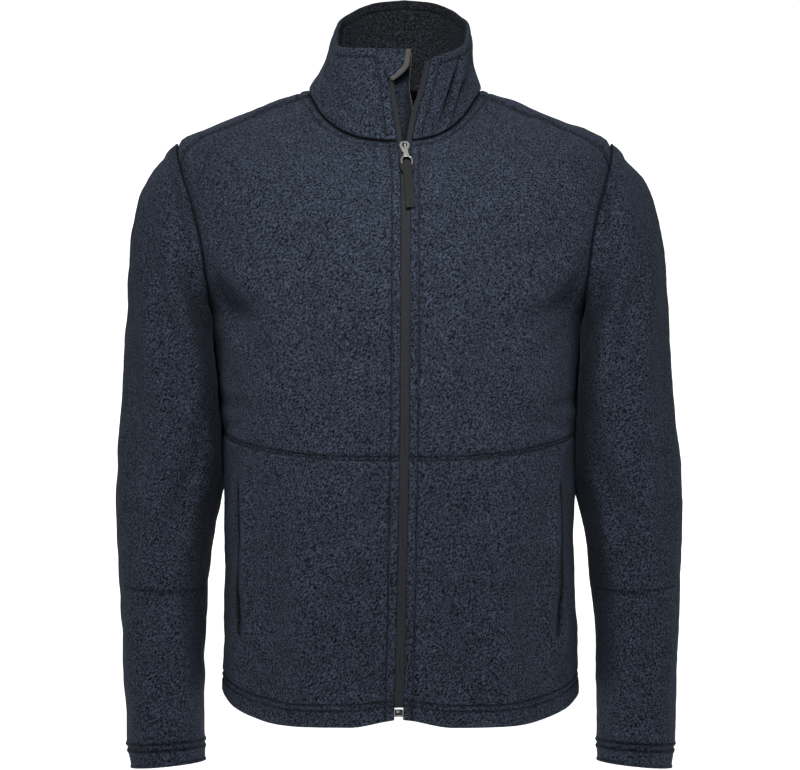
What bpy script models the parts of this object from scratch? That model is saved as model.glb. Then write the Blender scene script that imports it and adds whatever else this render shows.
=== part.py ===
"""Fleece zip jacket, filled out as if worn by nobody: a hollow torso, two hanging sleeves and a
stand collar that is open above the zip's slider. Metres, +Z up, the front faces -Y and the wearer's
left is +X. The origin is the middle of the neck opening at the height of the shoulder points."""

import math

import bmesh
import bpy
from mathutils import Matrix, Vector

# Driving dimensions
FLEECE = 0.0025  # wall of one layer of fleece
TAPE = 0.0010  # wall of a zip tape
SEAM_GAP = 0.0008  # clear width between two pieces that are sewn together
LAYER_GAP = 0.0005  # clear height between two layers that lie on each other
ARM_CLEARANCE = 0.0030  # between a hanging sleeve and the side of the torso
FRONT_OPENING = 0.0054  # from the zip's middle line to the folded edge of each front
NECK_OPENING = 0.0083  # the same at the neck, where the slider spreads the tapes
TAPE_WIDTH = 0.0130
SLIT_WIDTH = 0.0032  # pocket slit
POCKET_TAPE = 0.0070  # half width of a pocket's zip

# Rings round the torso from the neck seam to the hem. Heights are given at the front, side and back,
# and turn says how far round from the side the change of height is spread.
RING_COLUMNS = ("front_z", "side_z", "back_z", "half_width", "front", "back", "squareness", "turn")
TORSO_RINGS = (
    (-0.0610, 0.0000, 0.0120, 0.0915, 0.088, 0.070, 2.0, 1.15),  # 0 neck seam
    (-0.0880, -0.0165, -0.0160, 0.1370, 0.103, 0.100, 2.1, 1.15),  # 1
    (-0.1160, -0.0365, -0.0500, 0.1860, 0.117, 0.122, 2.2, 1.15),  # 2
    (-0.1460, -0.0605, -0.0900, 0.2320, 0.128, 0.134, 2.3, 1.10),  # 3 top of the armhole
    (-0.1760, -0.1180, -0.1350, 0.2420, 0.135, 0.140, 2.3, 1.05),  # 4
    (-0.2120, -0.1820, -0.1880, 0.2290, 0.139, 0.142, 2.4, 1.00),  # 5
    (-0.2500, -0.2380, -0.2400, 0.1995, 0.140, 0.140, 2.5, 1.00),  # 6 underarm
    (-0.3150, -0.3000, -0.3050, 0.1935, 0.140, 0.134, 2.5, 1.00),  # 7
    (-0.3940, -0.3680, -0.3750, 0.1880, 0.139, 0.126, 2.5, 1.00),  # 8 chest seam of the fronts
    (-0.4700, -0.4450, -0.4550, 0.1872, 0.137, 0.124, 2.5, 0.95),  # 9
    (-0.5450, -0.5250, -0.5400, 0.1872, 0.135, 0.128, 2.5, 0.90),  # 10
    (-0.6150, -0.5900, -0.6100, 0.1880, 0.133, 0.132, 2.5, 0.80),  # 11
    (-0.6765, -0.6475, -0.6700, 0.1900, 0.131, 0.134, 2.5, 0.75),  # 12 hem
)
HEM_RISE = 0.0085  # the fronts' hem lifts beside the zip
HEM_RISE_WIDTH = 0.055
NECK_RING, ARMHOLE_TOP, UNDERARM, CHEST_RING, HEM_RING = 0, 3, 6, 8, 12
YOKE_END = 3.4  # ring at which the shoulder seam meets the armhole
NECK_START = 0.048  # the body pieces start this far out from the neck seam, clear of the collar

# The jacket hangs a little askew: how far its middle is to the wearer's left, from the cuffs up
LEAN_COLUMNS = ("height", "x")
LEAN = (
    (-0.730, 0.0015),
    (-0.550, 0.0000),
    (-0.360, -0.0018),
    (-0.130, -0.0043),
    (-0.060, -0.0062),
    (-0.011, -0.0068),
    (0.015, -0.0032),
    (0.055, 0.0018),
    (0.102, 0.0045),
)
# The zip's middle line wanders a little to the wearer's left and back.
ZIP_LINE_COLUMNS = ("height", "x")
ZIP_LINE = (
    (-0.667, -0.0013),
    (-0.600, 0.0003),
    (-0.500, 0.0025),
    (-0.350, 0.0050),
    (-0.130, 0.0059),
    (-0.061, 0.0047),
)

# Half widths of the armhole, in degrees about the side, at its front and its back
ARMHOLE_FRONT, ARMHOLE_BACK = 23.0, 24.0

# Sleeve sections, square to the arm: the outline's outer and inner point, and the depth.
SLEEVE_COLUMNS = ("outer_x", "outer_z", "inner_x", "inner_z", "centre_y", "half_depth", "squareness")
SLEEVE_SECTIONS = (
    (0.2475, -0.0750, 0.2070, -0.2440, -0.004, 0.0815, 2.1),
    (0.2655, -0.0965, 0.2085, -0.2490, -0.001, 0.0835, 2.1),
    (0.2795, -0.1290, 0.2085, -0.2560, 0.003, 0.0840, 2.1),
    (0.2870, -0.1700, 0.1920, -0.2680, 0.006, 0.0830, 2.1),
    (0.2905, -0.2150, 0.1860, -0.2880, 0.010, 0.0800, 2.1),
    (0.2940, -0.2750, 0.1810, -0.3180, 0.014, 0.0760, 2.1),
    (0.2980, -0.3350, 0.1800, -0.3580, 0.018, 0.0710, 2.1),
    (0.3030, -0.3950, 0.1815, -0.4050, 0.019, 0.0660, 2.1),
    (0.3055, -0.4500, 0.1965, -0.4520, 0.015, 0.0625, 2.1),
    (0.3030, -0.5000, 0.2040, -0.5000, 0.008, 0.0590, 2.1),
    (0.3000, -0.5600, 0.2095, -0.5600, -0.001, 0.0550, 2.1),
    (0.2965, -0.6220, 0.2120, -0.6220, -0.010, 0.0505, 2.1),
    (0.2940, -0.6800, 0.2118, -0.6760, -0.018, 0.0460, 2.1),
    (0.2920, -0.7080, 0.2112, -0.7030, -0.022, 0.0440, 2.1),
    (0.2908, -0.7275, 0.2092, -0.7195, -0.025, 0.0430, 2.1),
)

# Collar profile from the neck seam up to the rim
COLLAR_COLUMNS = ("rise", "half_width", "front", "back", "squareness")
COLLAR_PROFILE = (
    (0.00, 0.0915, 0.0880, 0.0700, 2.0),
    (0.17, 0.0860, 0.0855, 0.0685, 2.1),
    (0.30, 0.0818, 0.0840, 0.0670, 2.2),
    (0.44, 0.0780, 0.0825, 0.0660, 2.3),
    (0.58, 0.0758, 0.0815, 0.0655, 2.4),
    (0.72, 0.0745, 0.0805, 0.0655, 2.4),
    (1.00, 0.0705, 0.0790, 0.0660, 2.4),
)
# Height of the collar's rim round the neck, from the front (0 degrees) to the back (180 degrees)
RIM_COLUMNS = ("angle", "height")
COLLAR_RIM = (
    (0, 0.0365),
    (25, 0.0380),
    (50, 0.0405),
    (70, 0.0470),
    (90, 0.0640),
    (120, 0.0820),
    (150, 0.0985),
    (180, 0.1030),
)
LEFT_RIM_DROP = 0.012  # the wearer's left end of the rim has fallen open
# Angles of the collar's two front edges from the neck seam up: the opening is a V.
COLLAR_EDGE_COLUMNS = ("rise", "right", "left")
COLLAR_EDGES = (
    (0.00, 1.8, 12.4),
    (0.35, -1.0, 18.0),
    (0.65, -5.0, 23.4),
    (1.00, -14.7, 25.6),
)

# Zip slider and pull, in a frame whose +Z runs up the zip and whose -Y points away from the jacket
SLIDER_Z = -0.0670
SLIDER_LENGTH = 0.0120
SLIDER_WIDTH = 0.0104
SLIDER_PLATE = 0.0020
SLIDER_POST = 0.0024
BAIL_WIRE = 0.0007
BAIL_SPAN = 0.0072
BAIL_RISE = 0.0038
PULL_WIRE = 0.00062
PULL_WIDTH = 0.0064
PULL_FOOT_WIDTH = 0.0112
PULL_LENGTH = 0.0118
TAB_WIDTH = 0.0079
TAB_LENGTH = 0.0460
TAB_WALL = 0.0014
TAB_LEAN = math.radians(4.5)
BOX_SIZE = (0.0088, 0.0030, 0.0080)

PULL_HINGE_LIFT = 0.0027
BOX_Z = -0.6615
# Above the first of these rings the tapes spread towards the slider and the collar.
TAPE_RINGS = (0.7, 1.1, 1.7, 2.4, 3.2, 4.0, 5.0, 6.0, 7.0, 8.0, 9.0, 10.0, 11.0, 11.76)

# The chin guard's round edge runs between these rises and angles of the collar.
GUARD_LOW = 0.63
GUARD_LOW_ANGLE, GUARD_TOP_ANGLE = -5.3, 8.2

STORM_FLAP = 0.0020
STORM_FLAP_DEPTH = 0.0062  # from the fronts' middle surface to the flap's
STORM_FLAP_REACH = 0.0125  # past the zip's middle line, on the wearer's left
BINDING = 0.0011  # radius of the bound edges
# The storm flap's free edge inside the collar, from the neck seam up
FLAP_EDGE_COLUMNS = ("rise", "x", "depth")
FLAP_EDGE = (
    (0.00, 0.0172, 0.0062),
    (0.40, 0.0160, 0.0180),
    (0.65, 0.0137, 0.0200),
    (1.00, 0.0110, 0.0090),
)

COLOURS = {
    "fleece": ((0.030, 0.037, 0.052, 1), 0.95, 0.0),
    "fleece_inside": ((0.022, 0.026, 0.033, 1), 0.95, 0.0),
    "zip_tape": ((0.026, 0.034, 0.048, 1), 0.60, 0.0),
    "binding": ((0.15, 0.14, 0.13, 1), 0.70, 0.0),
    "zip_metal": ((0.78, 0.76, 0.74, 1), 0.25, 1.0),
    "pull_tab": ((0.045, 0.043, 0.040, 1), 0.65, 0.0),
}


def clear_scene():
    for obj in list(bpy.data.objects):
        bpy.data.objects.remove(obj, do_unlink=True)


def new_collection(name):
    collection = bpy.data.collections.new(name)
    bpy.context.scene.collection.children.link(collection)
    return collection


def material(name, slot):
    colour, roughness, metallic = COLOURS[slot]
    made = bpy.data.materials.new(name)
    made.use_nodes = True
    shader = made.node_tree.nodes["Principled BSDF"]
    shader.inputs["Base Color"].default_value = colour
    shader.inputs["Roughness"].default_value = roughness
    shader.inputs["Metallic"].default_value = metallic
    return made


def blend(a, b, share):
    return a + (b - a) * share


def ease(share):
    share = min(max(share, 0.0), 1.0)
    return share * share * (3 - 2 * share)


def read_table(columns, rows, keys, column, at):
    """The column's value at a place along the table, on a smooth curve through its rows."""
    index = columns.index(column)
    last = len(rows) - 1
    at = min(max(at, keys[0]), keys[last])
    i = max(k for k in range(last) if keys[k] <= at or k == 0)
    values = [row[index] for row in rows]

    def slope(k):
        before, after = max(k - 1, 0), min(k + 1, last)
        return (values[after] - values[before]) / (keys[after] - keys[before])

    width = keys[i + 1] - keys[i]
    s = (at - keys[i]) / width
    return (
        values[i] * (1 + 2 * s) * (1 - s) ** 2
        + slope(i) * width * s * (1 - s) ** 2
        + values[i + 1] * s * s * (3 - 2 * s)
        - slope(i + 1) * width * s * s * (1 - s)
    )


def by_index(columns, rows, column, at):
    return read_table(columns, rows, range(len(rows)), column, at)


def by_first(columns, rows, column, at):
    return read_table(columns, rows, [row[0] for row in rows], column, at)


def lean(height):
    return by_first(LEAN_COLUMNS, LEAN, "x", height)


# Surfaces. Each is the middle of its cloth, and an angle is 0 at the front and 90 at the wearer's left.


def oval(angle, half_width, front, back, squareness):
    """A point of a rounded section at this angle."""
    s, c = math.sin(math.radians(angle)), math.cos(math.radians(angle))
    depth = front if c > 0 else back
    reach = (abs(s / half_width) ** squareness + abs(c / depth) ** squareness) ** (-1 / squareness)
    return reach * s, -reach * c


def torso_point(angle, ring):
    row = {c: by_index(RING_COLUMNS, TORSO_RINGS, c, ring) for c in RING_COLUMNS}
    x, y = oval(angle, row["half_width"], row["front"], row["back"], row["squareness"])
    c = math.cos(math.radians(angle))
    end = row["front_z"] if c > 0 else row["back_z"]
    z = blend(row["side_z"], end, ease(abs(c) / row["turn"]) / ease(1 / row["turn"]))
    if c > 0 and ring > HEM_RING - 1:
        z += HEM_RISE * (ring - HEM_RING + 1) * (1 - ease(abs(x) / HEM_RISE_WIDTH))
    return Vector((x + lean(z), y, z))


def collar_point(angle, rise):
    row = {c: by_first(COLLAR_COLUMNS, COLLAR_PROFILE, c, rise) for c in COLLAR_COLUMNS}
    x, y = oval(angle, row["half_width"], row["front"], row["back"], row["squareness"])
    turned = (angle + 180) % 360 - 180
    rim = by_first(RIM_COLUMNS, COLLAR_RIM, "height", abs(turned))
    if turned > 0:
        fallen = ease((turned - 9) / 9) * max(0.0, 1 - max(turned - 22, 0) / 40) ** 1.5
        rim -= LEFT_RIM_DROP * fallen
    z = blend(torso_point(angle, NECK_RING).z, rim, rise)
    return Vector((x + lean(z), y, z))


def normal_of(surface, a, b, step=(0.5, 0.02)):
    across = surface(a + step[0], b) - surface(a - step[0], b)
    along = surface(a, b + step[1]) - surface(a, b - step[1])
    normal = across.cross(along).normalized()
    centre = Vector((0, 0, surface(a, b).z))
    return normal if normal.dot(surface(a, b) - centre) > 0 else -normal


def off(surface, a, b, distance):
    return surface(a, b) + normal_of(surface, a, b) * distance


def zip_x(height):
    return by_first(ZIP_LINE_COLUMNS, ZIP_LINE, "x", height)


def front_angle(x, ring):
    """The angle at which the front of a torso ring has this x."""
    row = {c: by_index(RING_COLUMNS, TORSO_RINGS, c, ring) for c in RING_COLUMNS}
    y = row["front"] * (1 - abs(x / row["half_width"]) ** row["squareness"]) ** (1 / row["squareness"])
    return math.degrees(math.atan2(x, y))


def beside_zip(ring, distance):
    """The angle at a distance from the zip's middle line, positive to the wearer's left."""
    height = by_index(RING_COLUMNS, TORSO_RINGS, "front_z", ring)
    return front_angle(zip_x(height) - lean(height) + distance, ring)


def front_edge(ring):
    """From the zip's middle line to a front's folded edge: it widens round the slider."""
    widening = max(0.0, 1 - ring / 1.2)
    return blend(FRONT_OPENING, NECK_OPENING, widening**1.5)


def armhole_share(ring):
    return min(max((ring - ARMHOLE_TOP) / (UNDERARM - ARMHOLE_TOP), 0), 1)


def armhole_width(share, full):
    return full * math.sqrt(4 * share * (1 - share)) * (0.72 + 0.35 * share)


def armhole_front(ring):
    return 90 - armhole_width(armhole_share(ring), ARMHOLE_FRONT)


def armhole_back(ring):
    return 90 + armhole_width(armhole_share(ring), ARMHOLE_BACK)


def shoulder_seam(ring):
    return blend(76.5, armhole_front(YOKE_END), ring / YOKE_END)


def side_seam(ring):
    return 90 - 6 * (ring - UNDERARM) / (HEM_RING - UNDERARM)


def gap_angle(ring):
    """Half a seam's clear width as an angle at the side of this ring."""
    width = SEAM_GAP if ring > UNDERARM else 1.5 * SEAM_GAP
    return math.degrees(width / 2 / by_index(RING_COLUMNS, TORSO_RINGS, "half_width", ring))


def torso_side_x(y, z):
    """Half the torso's width at this depth and height, below the underarm."""
    keys = [-row[RING_COLUMNS.index("side_z")] for row in TORSO_RINGS]

    def at(column):
        return read_table(RING_COLUMNS, TORSO_RINGS, keys, column, -z)

    depth = at("front") if y < 0 else at("back")
    inside = max(0.0, 1 - abs(y / depth) ** at("squareness"))
    return at("half_width") * inside ** (1 / at("squareness"))


def sleeve_point(turn, section):
    """turn is 0 on the arm's outer line, 90 at its front, 180 on its inner line. Section 0 is the armhole."""
    s, c = math.sin(math.radians(turn)), math.cos(math.radians(turn))
    share = (1 - c) / 2
    shrink = 1 - 0.011
    reach = armhole_width(share, ARMHOLE_FRONT if s > 0 else ARMHOLE_BACK)
    ring = blend(ARMHOLE_TOP, UNDERARM, 0.5 + (share - 0.5) * shrink)
    armhole = torso_point(90 - math.copysign(reach, s) * shrink, ring)
    armhole.x += 0.0014 + 0.0007 * share - lean(armhole.z)
    if section <= 0:
        return armhole
    row = {
        column: by_index(SLEEVE_COLUMNS, SLEEVE_SECTIONS, column, max(section - 1, 0))
        for column in SLEEVE_COLUMNS
    }
    outer = Vector((row["outer_x"], row["centre_y"], row["outer_z"]))
    inner = Vector((row["inner_x"], row["centre_y"], row["inner_z"]))
    n = row["squareness"]
    size = (abs(s) ** n + abs(c) ** n) ** (-1 / n)
    point = (outer + inner) / 2 + (outer - inner) / 2 * size * c
    point.y -= row["half_depth"] * size * s
    if point.z < TORSO_RINGS[UNDERARM][1]:
        clear = torso_side_x(point.y, point.z) + FLEECE + ARM_CLEARANCE
        point.x = max(point.x, clear)
    return blend(armhole, point, min(section, 1))


# Builders


def finish(obj, collection, slot):
    collection.objects.link(obj)
    obj.data.materials.append(material(obj.name + "_" + slot, slot))
    return obj


def grid_faces(mesh, rows, closed=False, skip=None):
    """Quads over rows of points, facing the side from which the rows run down and their points right."""
    points = [[mesh.verts.new(p) for p in row] for row in rows]
    count = len(rows[0])
    for i in range(len(rows) - 1):
        for j in range(count if closed else count - 1):
            if skip and skip(i, j):
                continue
            k = (j + 1) % count
            mesh.faces.new((points[i][j], points[i + 1][j], points[i + 1][k], points[i][k]))


def wall(name, collection, slot, blocks, thickness, closed=False, skip=None):
    """Cloth: open grids of points that share their edges, thickened evenly to both sides."""
    mesh = bmesh.new()
    for rows in blocks:
        grid_faces(mesh, rows, closed, skip)
    bmesh.ops.remove_doubles(mesh, verts=mesh.verts, dist=1e-6)
    loose = [v for v in mesh.verts if not v.link_faces]
    bmesh.ops.delete(mesh, geom=loose, context="VERTS")
    bmesh.ops.recalc_face_normals(mesh, faces=mesh.faces)
    data = bpy.data.meshes.new(name)
    mesh.to_mesh(data)
    mesh.free()
    data.shade_smooth()
    obj = finish(bpy.data.objects.new(name, data), collection, slot)
    solidify = obj.modifiers.new("Cloth wall", "SOLIDIFY")
    solidify.thickness = thickness
    solidify.offset = 0
    return obj


def spread(start, end, count):
    return [blend(start, end, i / count) for i in range(count + 1)]


def mesh_of_curve(curve_object, name, collection, slot):
    """The curve as a closed mesh, its caps welded, in the curve's place."""
    scene = bpy.context.scene.collection
    scene.objects.link(curve_object)
    bpy.context.view_layer.update()
    graph = bpy.context.evaluated_depsgraph_get()
    data = bpy.data.meshes.new_from_object(curve_object.evaluated_get(graph))
    mesh = bmesh.new()
    mesh.from_mesh(data)
    bmesh.ops.remove_doubles(mesh, verts=mesh.verts, dist=1e-6)
    bmesh.ops.recalc_face_normals(mesh, faces=mesh.faces)
    mesh.to_mesh(data)
    mesh.free()
    obj = bpy.data.objects.new(name, data)
    obj.matrix_world = curve_object.matrix_world
    bpy.data.objects.remove(curve_object, do_unlink=True)
    return finish(obj, collection, slot)


def wire(name, collection, slot, points, radius, closed=False, resolution=2):
    data = bpy.data.curves.new(name, "CURVE")
    data.dimensions = "3D"
    data.bevel_depth = radius
    data.bevel_resolution = resolution
    data.use_fill_caps = not closed
    spline = data.splines.new("POLY")
    spline.points.add(len(points) - 1)
    for place, point in zip(spline.points, points):
        place.co = (*point, 1)
    spline.use_cyclic_u = closed
    return mesh_of_curve(bpy.data.objects.new(name + "_path", data), name, collection, slot)


def block(name, collection, slot, size, centre, rounding):
    mesh = bmesh.new()
    bmesh.ops.create_cube(mesh, size=1)
    bmesh.ops.scale(mesh, vec=size, verts=mesh.verts)
    bmesh.ops.translate(mesh, vec=centre, verts=mesh.verts)
    data = bpy.data.meshes.new(name)
    mesh.to_mesh(data)
    mesh.free()
    obj = finish(bpy.data.objects.new(name, data), collection, slot)
    bevel = obj.modifiers.new("Rounded edges", "BEVEL")
    bevel.width = rounding
    bevel.segments = 2
    return obj


def join(obj, others, helpers):
    """Boolean unions of obj with its other shapes, which become helpers."""
    for other in others:
        for collection in list(other.users_collection):
            collection.objects.unlink(other)
        helpers.objects.link(other)
        other.hide_render = True
        other.display_type = "WIRE"
        union = obj.modifiers.new("Joined " + other.name, "BOOLEAN")
        union.operation = "UNION"
        union.object = other
    return obj


# Fronts and back

UPPER_RINGS = (
    NECK_START, 0.5, 1.0, 1.6, 2.2, 2.8, YOKE_END, 3.9, 4.4, 4.9, 5.35, 5.7, 5.9, 6.0, 6.6, 7.3, 8.0,
)
LOWER_RINGS = (8.0, 8.55, 9.1, 9.65, 10.2, 10.75, 11.4, 12.0)
SLIT_RINGS = (8.55, 10.75)
SLIT_ANGLE = 66.0
RING_STEP = SEAM_GAP / 2 / 0.075  # half a seam's clear width, in rings of the chest's spacing


def front_upper(side, name, collection):
    rows = []
    for ring in UPPER_RINGS:
        if ring <= YOKE_END:
            end = shoulder_seam(ring)
        elif ring <= UNDERARM:
            end = armhole_front(ring)
        else:
            end = side_seam(ring)
        end -= gap_angle(ring)
        place = ring - RING_STEP if ring == CHEST_RING else ring
        start = beside_zip(place, side * front_edge(place))
        rows.append([torso_point(angle, place) for angle in spread(start, side * end, 9)])
    return wall(name, collection, "fleece", [rows], FLEECE)


def front_lower(side, name, collection):
    middle, outer = 6, 3
    rows = []
    for ring in LOWER_RINGS:
        place = ring + RING_STEP if ring == CHEST_RING else ring
        half_slit = math.degrees(SLIT_WIDTH / 2 / 0.187)
        start = beside_zip(place, side * front_edge(place))
        angles = spread(start, side * (SLIT_ANGLE - half_slit), middle)
        angles += spread(side * (SLIT_ANGLE + half_slit), side * (side_seam(ring) - gap_angle(ring)), outer)
        rows.append([torso_point(angle, place) for angle in angles])
    first, last = (LOWER_RINGS.index(ring) for ring in SLIT_RINGS)

    def skip(i, j):
        return j == middle and first <= i < last

    return wall(name, collection, "fleece", [rows], FLEECE, skip=skip)


def back(collection):
    """One piece: it wraps over both shoulders to seams on the front."""
    over, behind = 2, 9
    blocks = []
    for side in (1, -1):
        shoulder, strip, lower = [], [], []
        for ring in (NECK_START, 0.5, 1.0, 1.6, 2.2, 2.6, 3.0):
            angles = spread(shoulder_seam(ring) + gap_angle(ring), 90, over)
            angles += spread(90, 180, behind)[1:]
            shoulder.append([torso_point(side * angle, ring) for angle in angles])
        for ring in (3.0, 3.15, YOKE_END - 0.08):
            angles = spread(shoulder_seam(ring) + gap_angle(ring), armhole_front(ring), over)
            strip.append([torso_point(side * angle, ring) for angle in angles])
        for ring in (3.0, 3.25, 3.6, 4.1, 4.7, 5.3, 5.7, 5.92, 6.0, 6.6, 7.4, 8.2, 9.0, 10.0, 11.0, 12.0):
            start = armhole_back(ring) if ring < UNDERARM else side_seam(ring) + gap_angle(ring)
            lower.append([torso_point(side * angle, ring) for angle in spread(start, 180, behind)])
        blocks += [shoulder, strip, lower]
    return wall("back", collection, "fleece", blocks, FLEECE)


def sleeve(side, name, collection):
    turns, rows = 20, []
    for section in (0, 0.5, 1, 2, 3, 4, 5, 6, 7, 8, 9, 10, 11, 12, 13, 14, 15):
        ring = []
        for i in range(turns):
            point = sleeve_point(360 * i / turns, section)
            ring.append(Vector((side * point.x + lean(point.z), point.y, point.z)))
        rows.append(ring)
    return wall(name, collection, "fleece", [rows], FLEECE, closed=True)


# Collar


def collar_edge(side, rise):
    return by_first(COLLAR_EDGE_COLUMNS, COLLAR_EDGES, "left" if side > 0 else "right", rise)


def collar_layer(name, collection, slot, distance, low, high):
    rows = []
    for rise in spread(high, low, 5):
        start, end = collar_edge(1, rise), collar_edge(-1, rise) + 360
        rows.append([off(collar_point, angle, rise, distance) for angle in spread(start, end, 28)])
    return wall(name, collection, slot, [rows], FLEECE)


# Zip


def tape(side, name, collection):
    """One half of the main zip's tape: under the front's edge, then along the collar's."""
    rows = []
    for rise in spread(0.985, 0.10, 6):
        edge = collar_edge(side, rise)
        inner = math.degrees(SEAM_GAP / 0.083)
        width = math.degrees(0.0052 / 0.083)
        angles = (edge - side * width, edge - side * (inner + width) / 2, edge - side * inner)
        rows.append([off(collar_point, angle, rise, -TAPE) for angle in angles])
    full_depth = FLEECE / 2 + LAYER_GAP + TAPE / 2
    for ring in (0.02, 0.12, 0.25, 0.45, *TAPE_RINGS):
        opened = max(0.0, 1 - ring / TAPE_RINGS[0])
        near = blend(0.0002, NECK_OPENING - 0.0052, opened)
        far = front_edge(ring) - 0.0010 if ring < TAPE_RINGS[0] else TAPE_WIDTH
        depth = blend(full_depth, TAPE + 0.0002, max(0.0, 1 - ring / 0.45))
        places = (near, (near + far) / 2, far)
        rows.append([off(torso_point, beside_zip(ring, side * d), ring, -depth) for d in places])
    return wall(name, collection, "zip_tape", [rows], TAPE)


def collar_angle(x, rise):
    """The angle at which the front of the collar has this x."""
    z = blend(torso_point(0, NECK_RING).z, COLLAR_RIM[0][1], rise)
    front = by_first(COLLAR_COLUMNS, COLLAR_PROFILE, "front", rise)
    return math.degrees(math.asin((x - lean(z)) / front))


def flap_edge(rise):
    """The storm flap's free edge inside the collar: its angle, and how deep it hangs back."""
    x = by_first(FLAP_EDGE_COLUMNS, FLAP_EDGE, "x", rise)
    return collar_angle(x, rise), by_first(FLAP_EDGE_COLUMNS, FLAP_EDGE, "depth", rise)


def storm_flap(collection):
    """A strip behind the zip, sewn to the wearer's right front; its bound edge runs free."""
    rows, bound = [], []
    for rise in spread(0.97, 0.08, 6):
        start = collar_edge(-1, rise) - 5
        end, depth = flap_edge(rise)
        row = []
        for share in (0, 0.35, 0.7, 1):
            back_off = blend(STORM_FLAP_DEPTH, depth, share**1.5)
            row.append(off(collar_point, blend(start, end, share), rise, -back_off))
        rows.append(row)
    for ring in (0.05, 0.3, *TAPE_RINGS):
        places = (-0.018, -0.008, 0.003, STORM_FLAP_REACH)
        rows.append([off(torso_point, beside_zip(ring, d), ring, -STORM_FLAP_DEPTH) for d in places])
    for row in rows:
        outward = (row[-1] - row[-2]).normalized()
        bound.append(row[-1] + outward * (BINDING + 0.0006))
    wall("storm_flap", collection, "fleece", [rows], STORM_FLAP)
    wire("storm_flap_binding", collection, "binding", bound, BINDING)


def guard_place(full, scale):
    """A place on the chin guard's round free edge, drawn in towards its top corner by scale."""
    corner = collar_edge(-1, 1)
    share = (full - GUARD_LOW) / (1 - GUARD_LOW)
    swing = math.sin(math.radians(90 * min(share / 0.6, 1)))
    angle = corner + (blend(GUARD_LOW_ANGLE, GUARD_TOP_ANGLE, swing) - corner) * scale
    return angle, 1 + (full - 1) * (0.25 + 0.75 * scale)


def chin_guard(collection):
    """A fleece tongue over the top of the zip, with its round free edge bound."""
    inner, lift = 0.84, 0.0014
    rows, bound = [], []
    for full in spread(0.995, GUARD_LOW + 0.045, 12):
        end, rise = guard_place(full, inner)
        start = collar_edge(-1, rise) + math.degrees(SEAM_GAP / 0.08)
        rows.append([off(collar_point, angle, rise, lift) for angle in spread(start, end, 4)])
        places = [guard_place(full, scale) for scale in (inner + 0.018, 0.93, 1.0)]
        bound.append([off(collar_point, angle, rise, lift) for angle, rise in places])
    wall("chin_guard", collection, "fleece", [rows], 0.0020)
    wall("chin_guard_binding", collection, "binding", [bound], 0.0024)


def zip_ring(height):
    """The torso ring whose front is at this height."""
    ring = 0.0
    while torso_point(beside_zip(ring, 0), ring).z > height:
        ring += 0.01
    return ring


def zip_place(name, height, lift, collection):
    """An empty on the zip's line, its +Z up the zip and its -Y away from the jacket."""
    ring = zip_ring(height)
    angle = beside_zip(ring, 0)
    normal = normal_of(torso_point, angle, ring)
    empty = bpy.data.objects.new(name, None)
    empty.location = torso_point(angle, ring) + normal * lift
    yaw = math.atan2(normal.x, -normal.y)
    slope = math.atan2(-normal.z, math.hypot(normal.x, normal.y))
    empty.rotation_euler = (slope, 0, yaw)
    empty.empty_display_size = 0.01
    collection.objects.link(empty)
    bpy.context.view_layer.update()
    return empty


def on(parent, obj):
    obj.parent = parent
    return obj


def slider(jacket, helpers):
    place = zip_place("slider_place", SLIDER_Z, 0, jacket)
    face = -0.0016
    front_centre = (0, face + SLIDER_PLATE / 2, 0)
    face_size = (SLIDER_WIDTH, SLIDER_PLATE, SLIDER_LENGTH)
    body = block("zip_slider", jacket, "zip_metal", face_size, front_centre, 0.0009)
    behind = FLEECE / 2 + 2 * LAYER_GAP + TAPE + 0.0006
    back_plate = block(
        "slider_back_plate",
        jacket,
        "zip_metal",
        (SLIDER_WIDTH, 0.0012, SLIDER_LENGTH),
        (0, behind, 0),
        0.0004,
    )
    post_size = (SLIDER_POST, 0.0040, 0.0034)
    post = block("slider_post", jacket, "zip_metal", post_size, (0, 0.0018, 0.0037), 0.0003)
    arch = []
    for i in range(13):
        turn = math.pi * i / 12
        arch.append((0, face + 0.0004 - BAIL_RISE * math.sin(turn), BAIL_SPAN / 2 * math.cos(turn)))
    bail = wire("slider_bail", jacket, "zip_metal", arch, BAIL_WIRE)
    join(body, (back_plate, post, bail), helpers)
    for obj in (body, back_plate, post, bail):
        on(place, obj)


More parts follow.
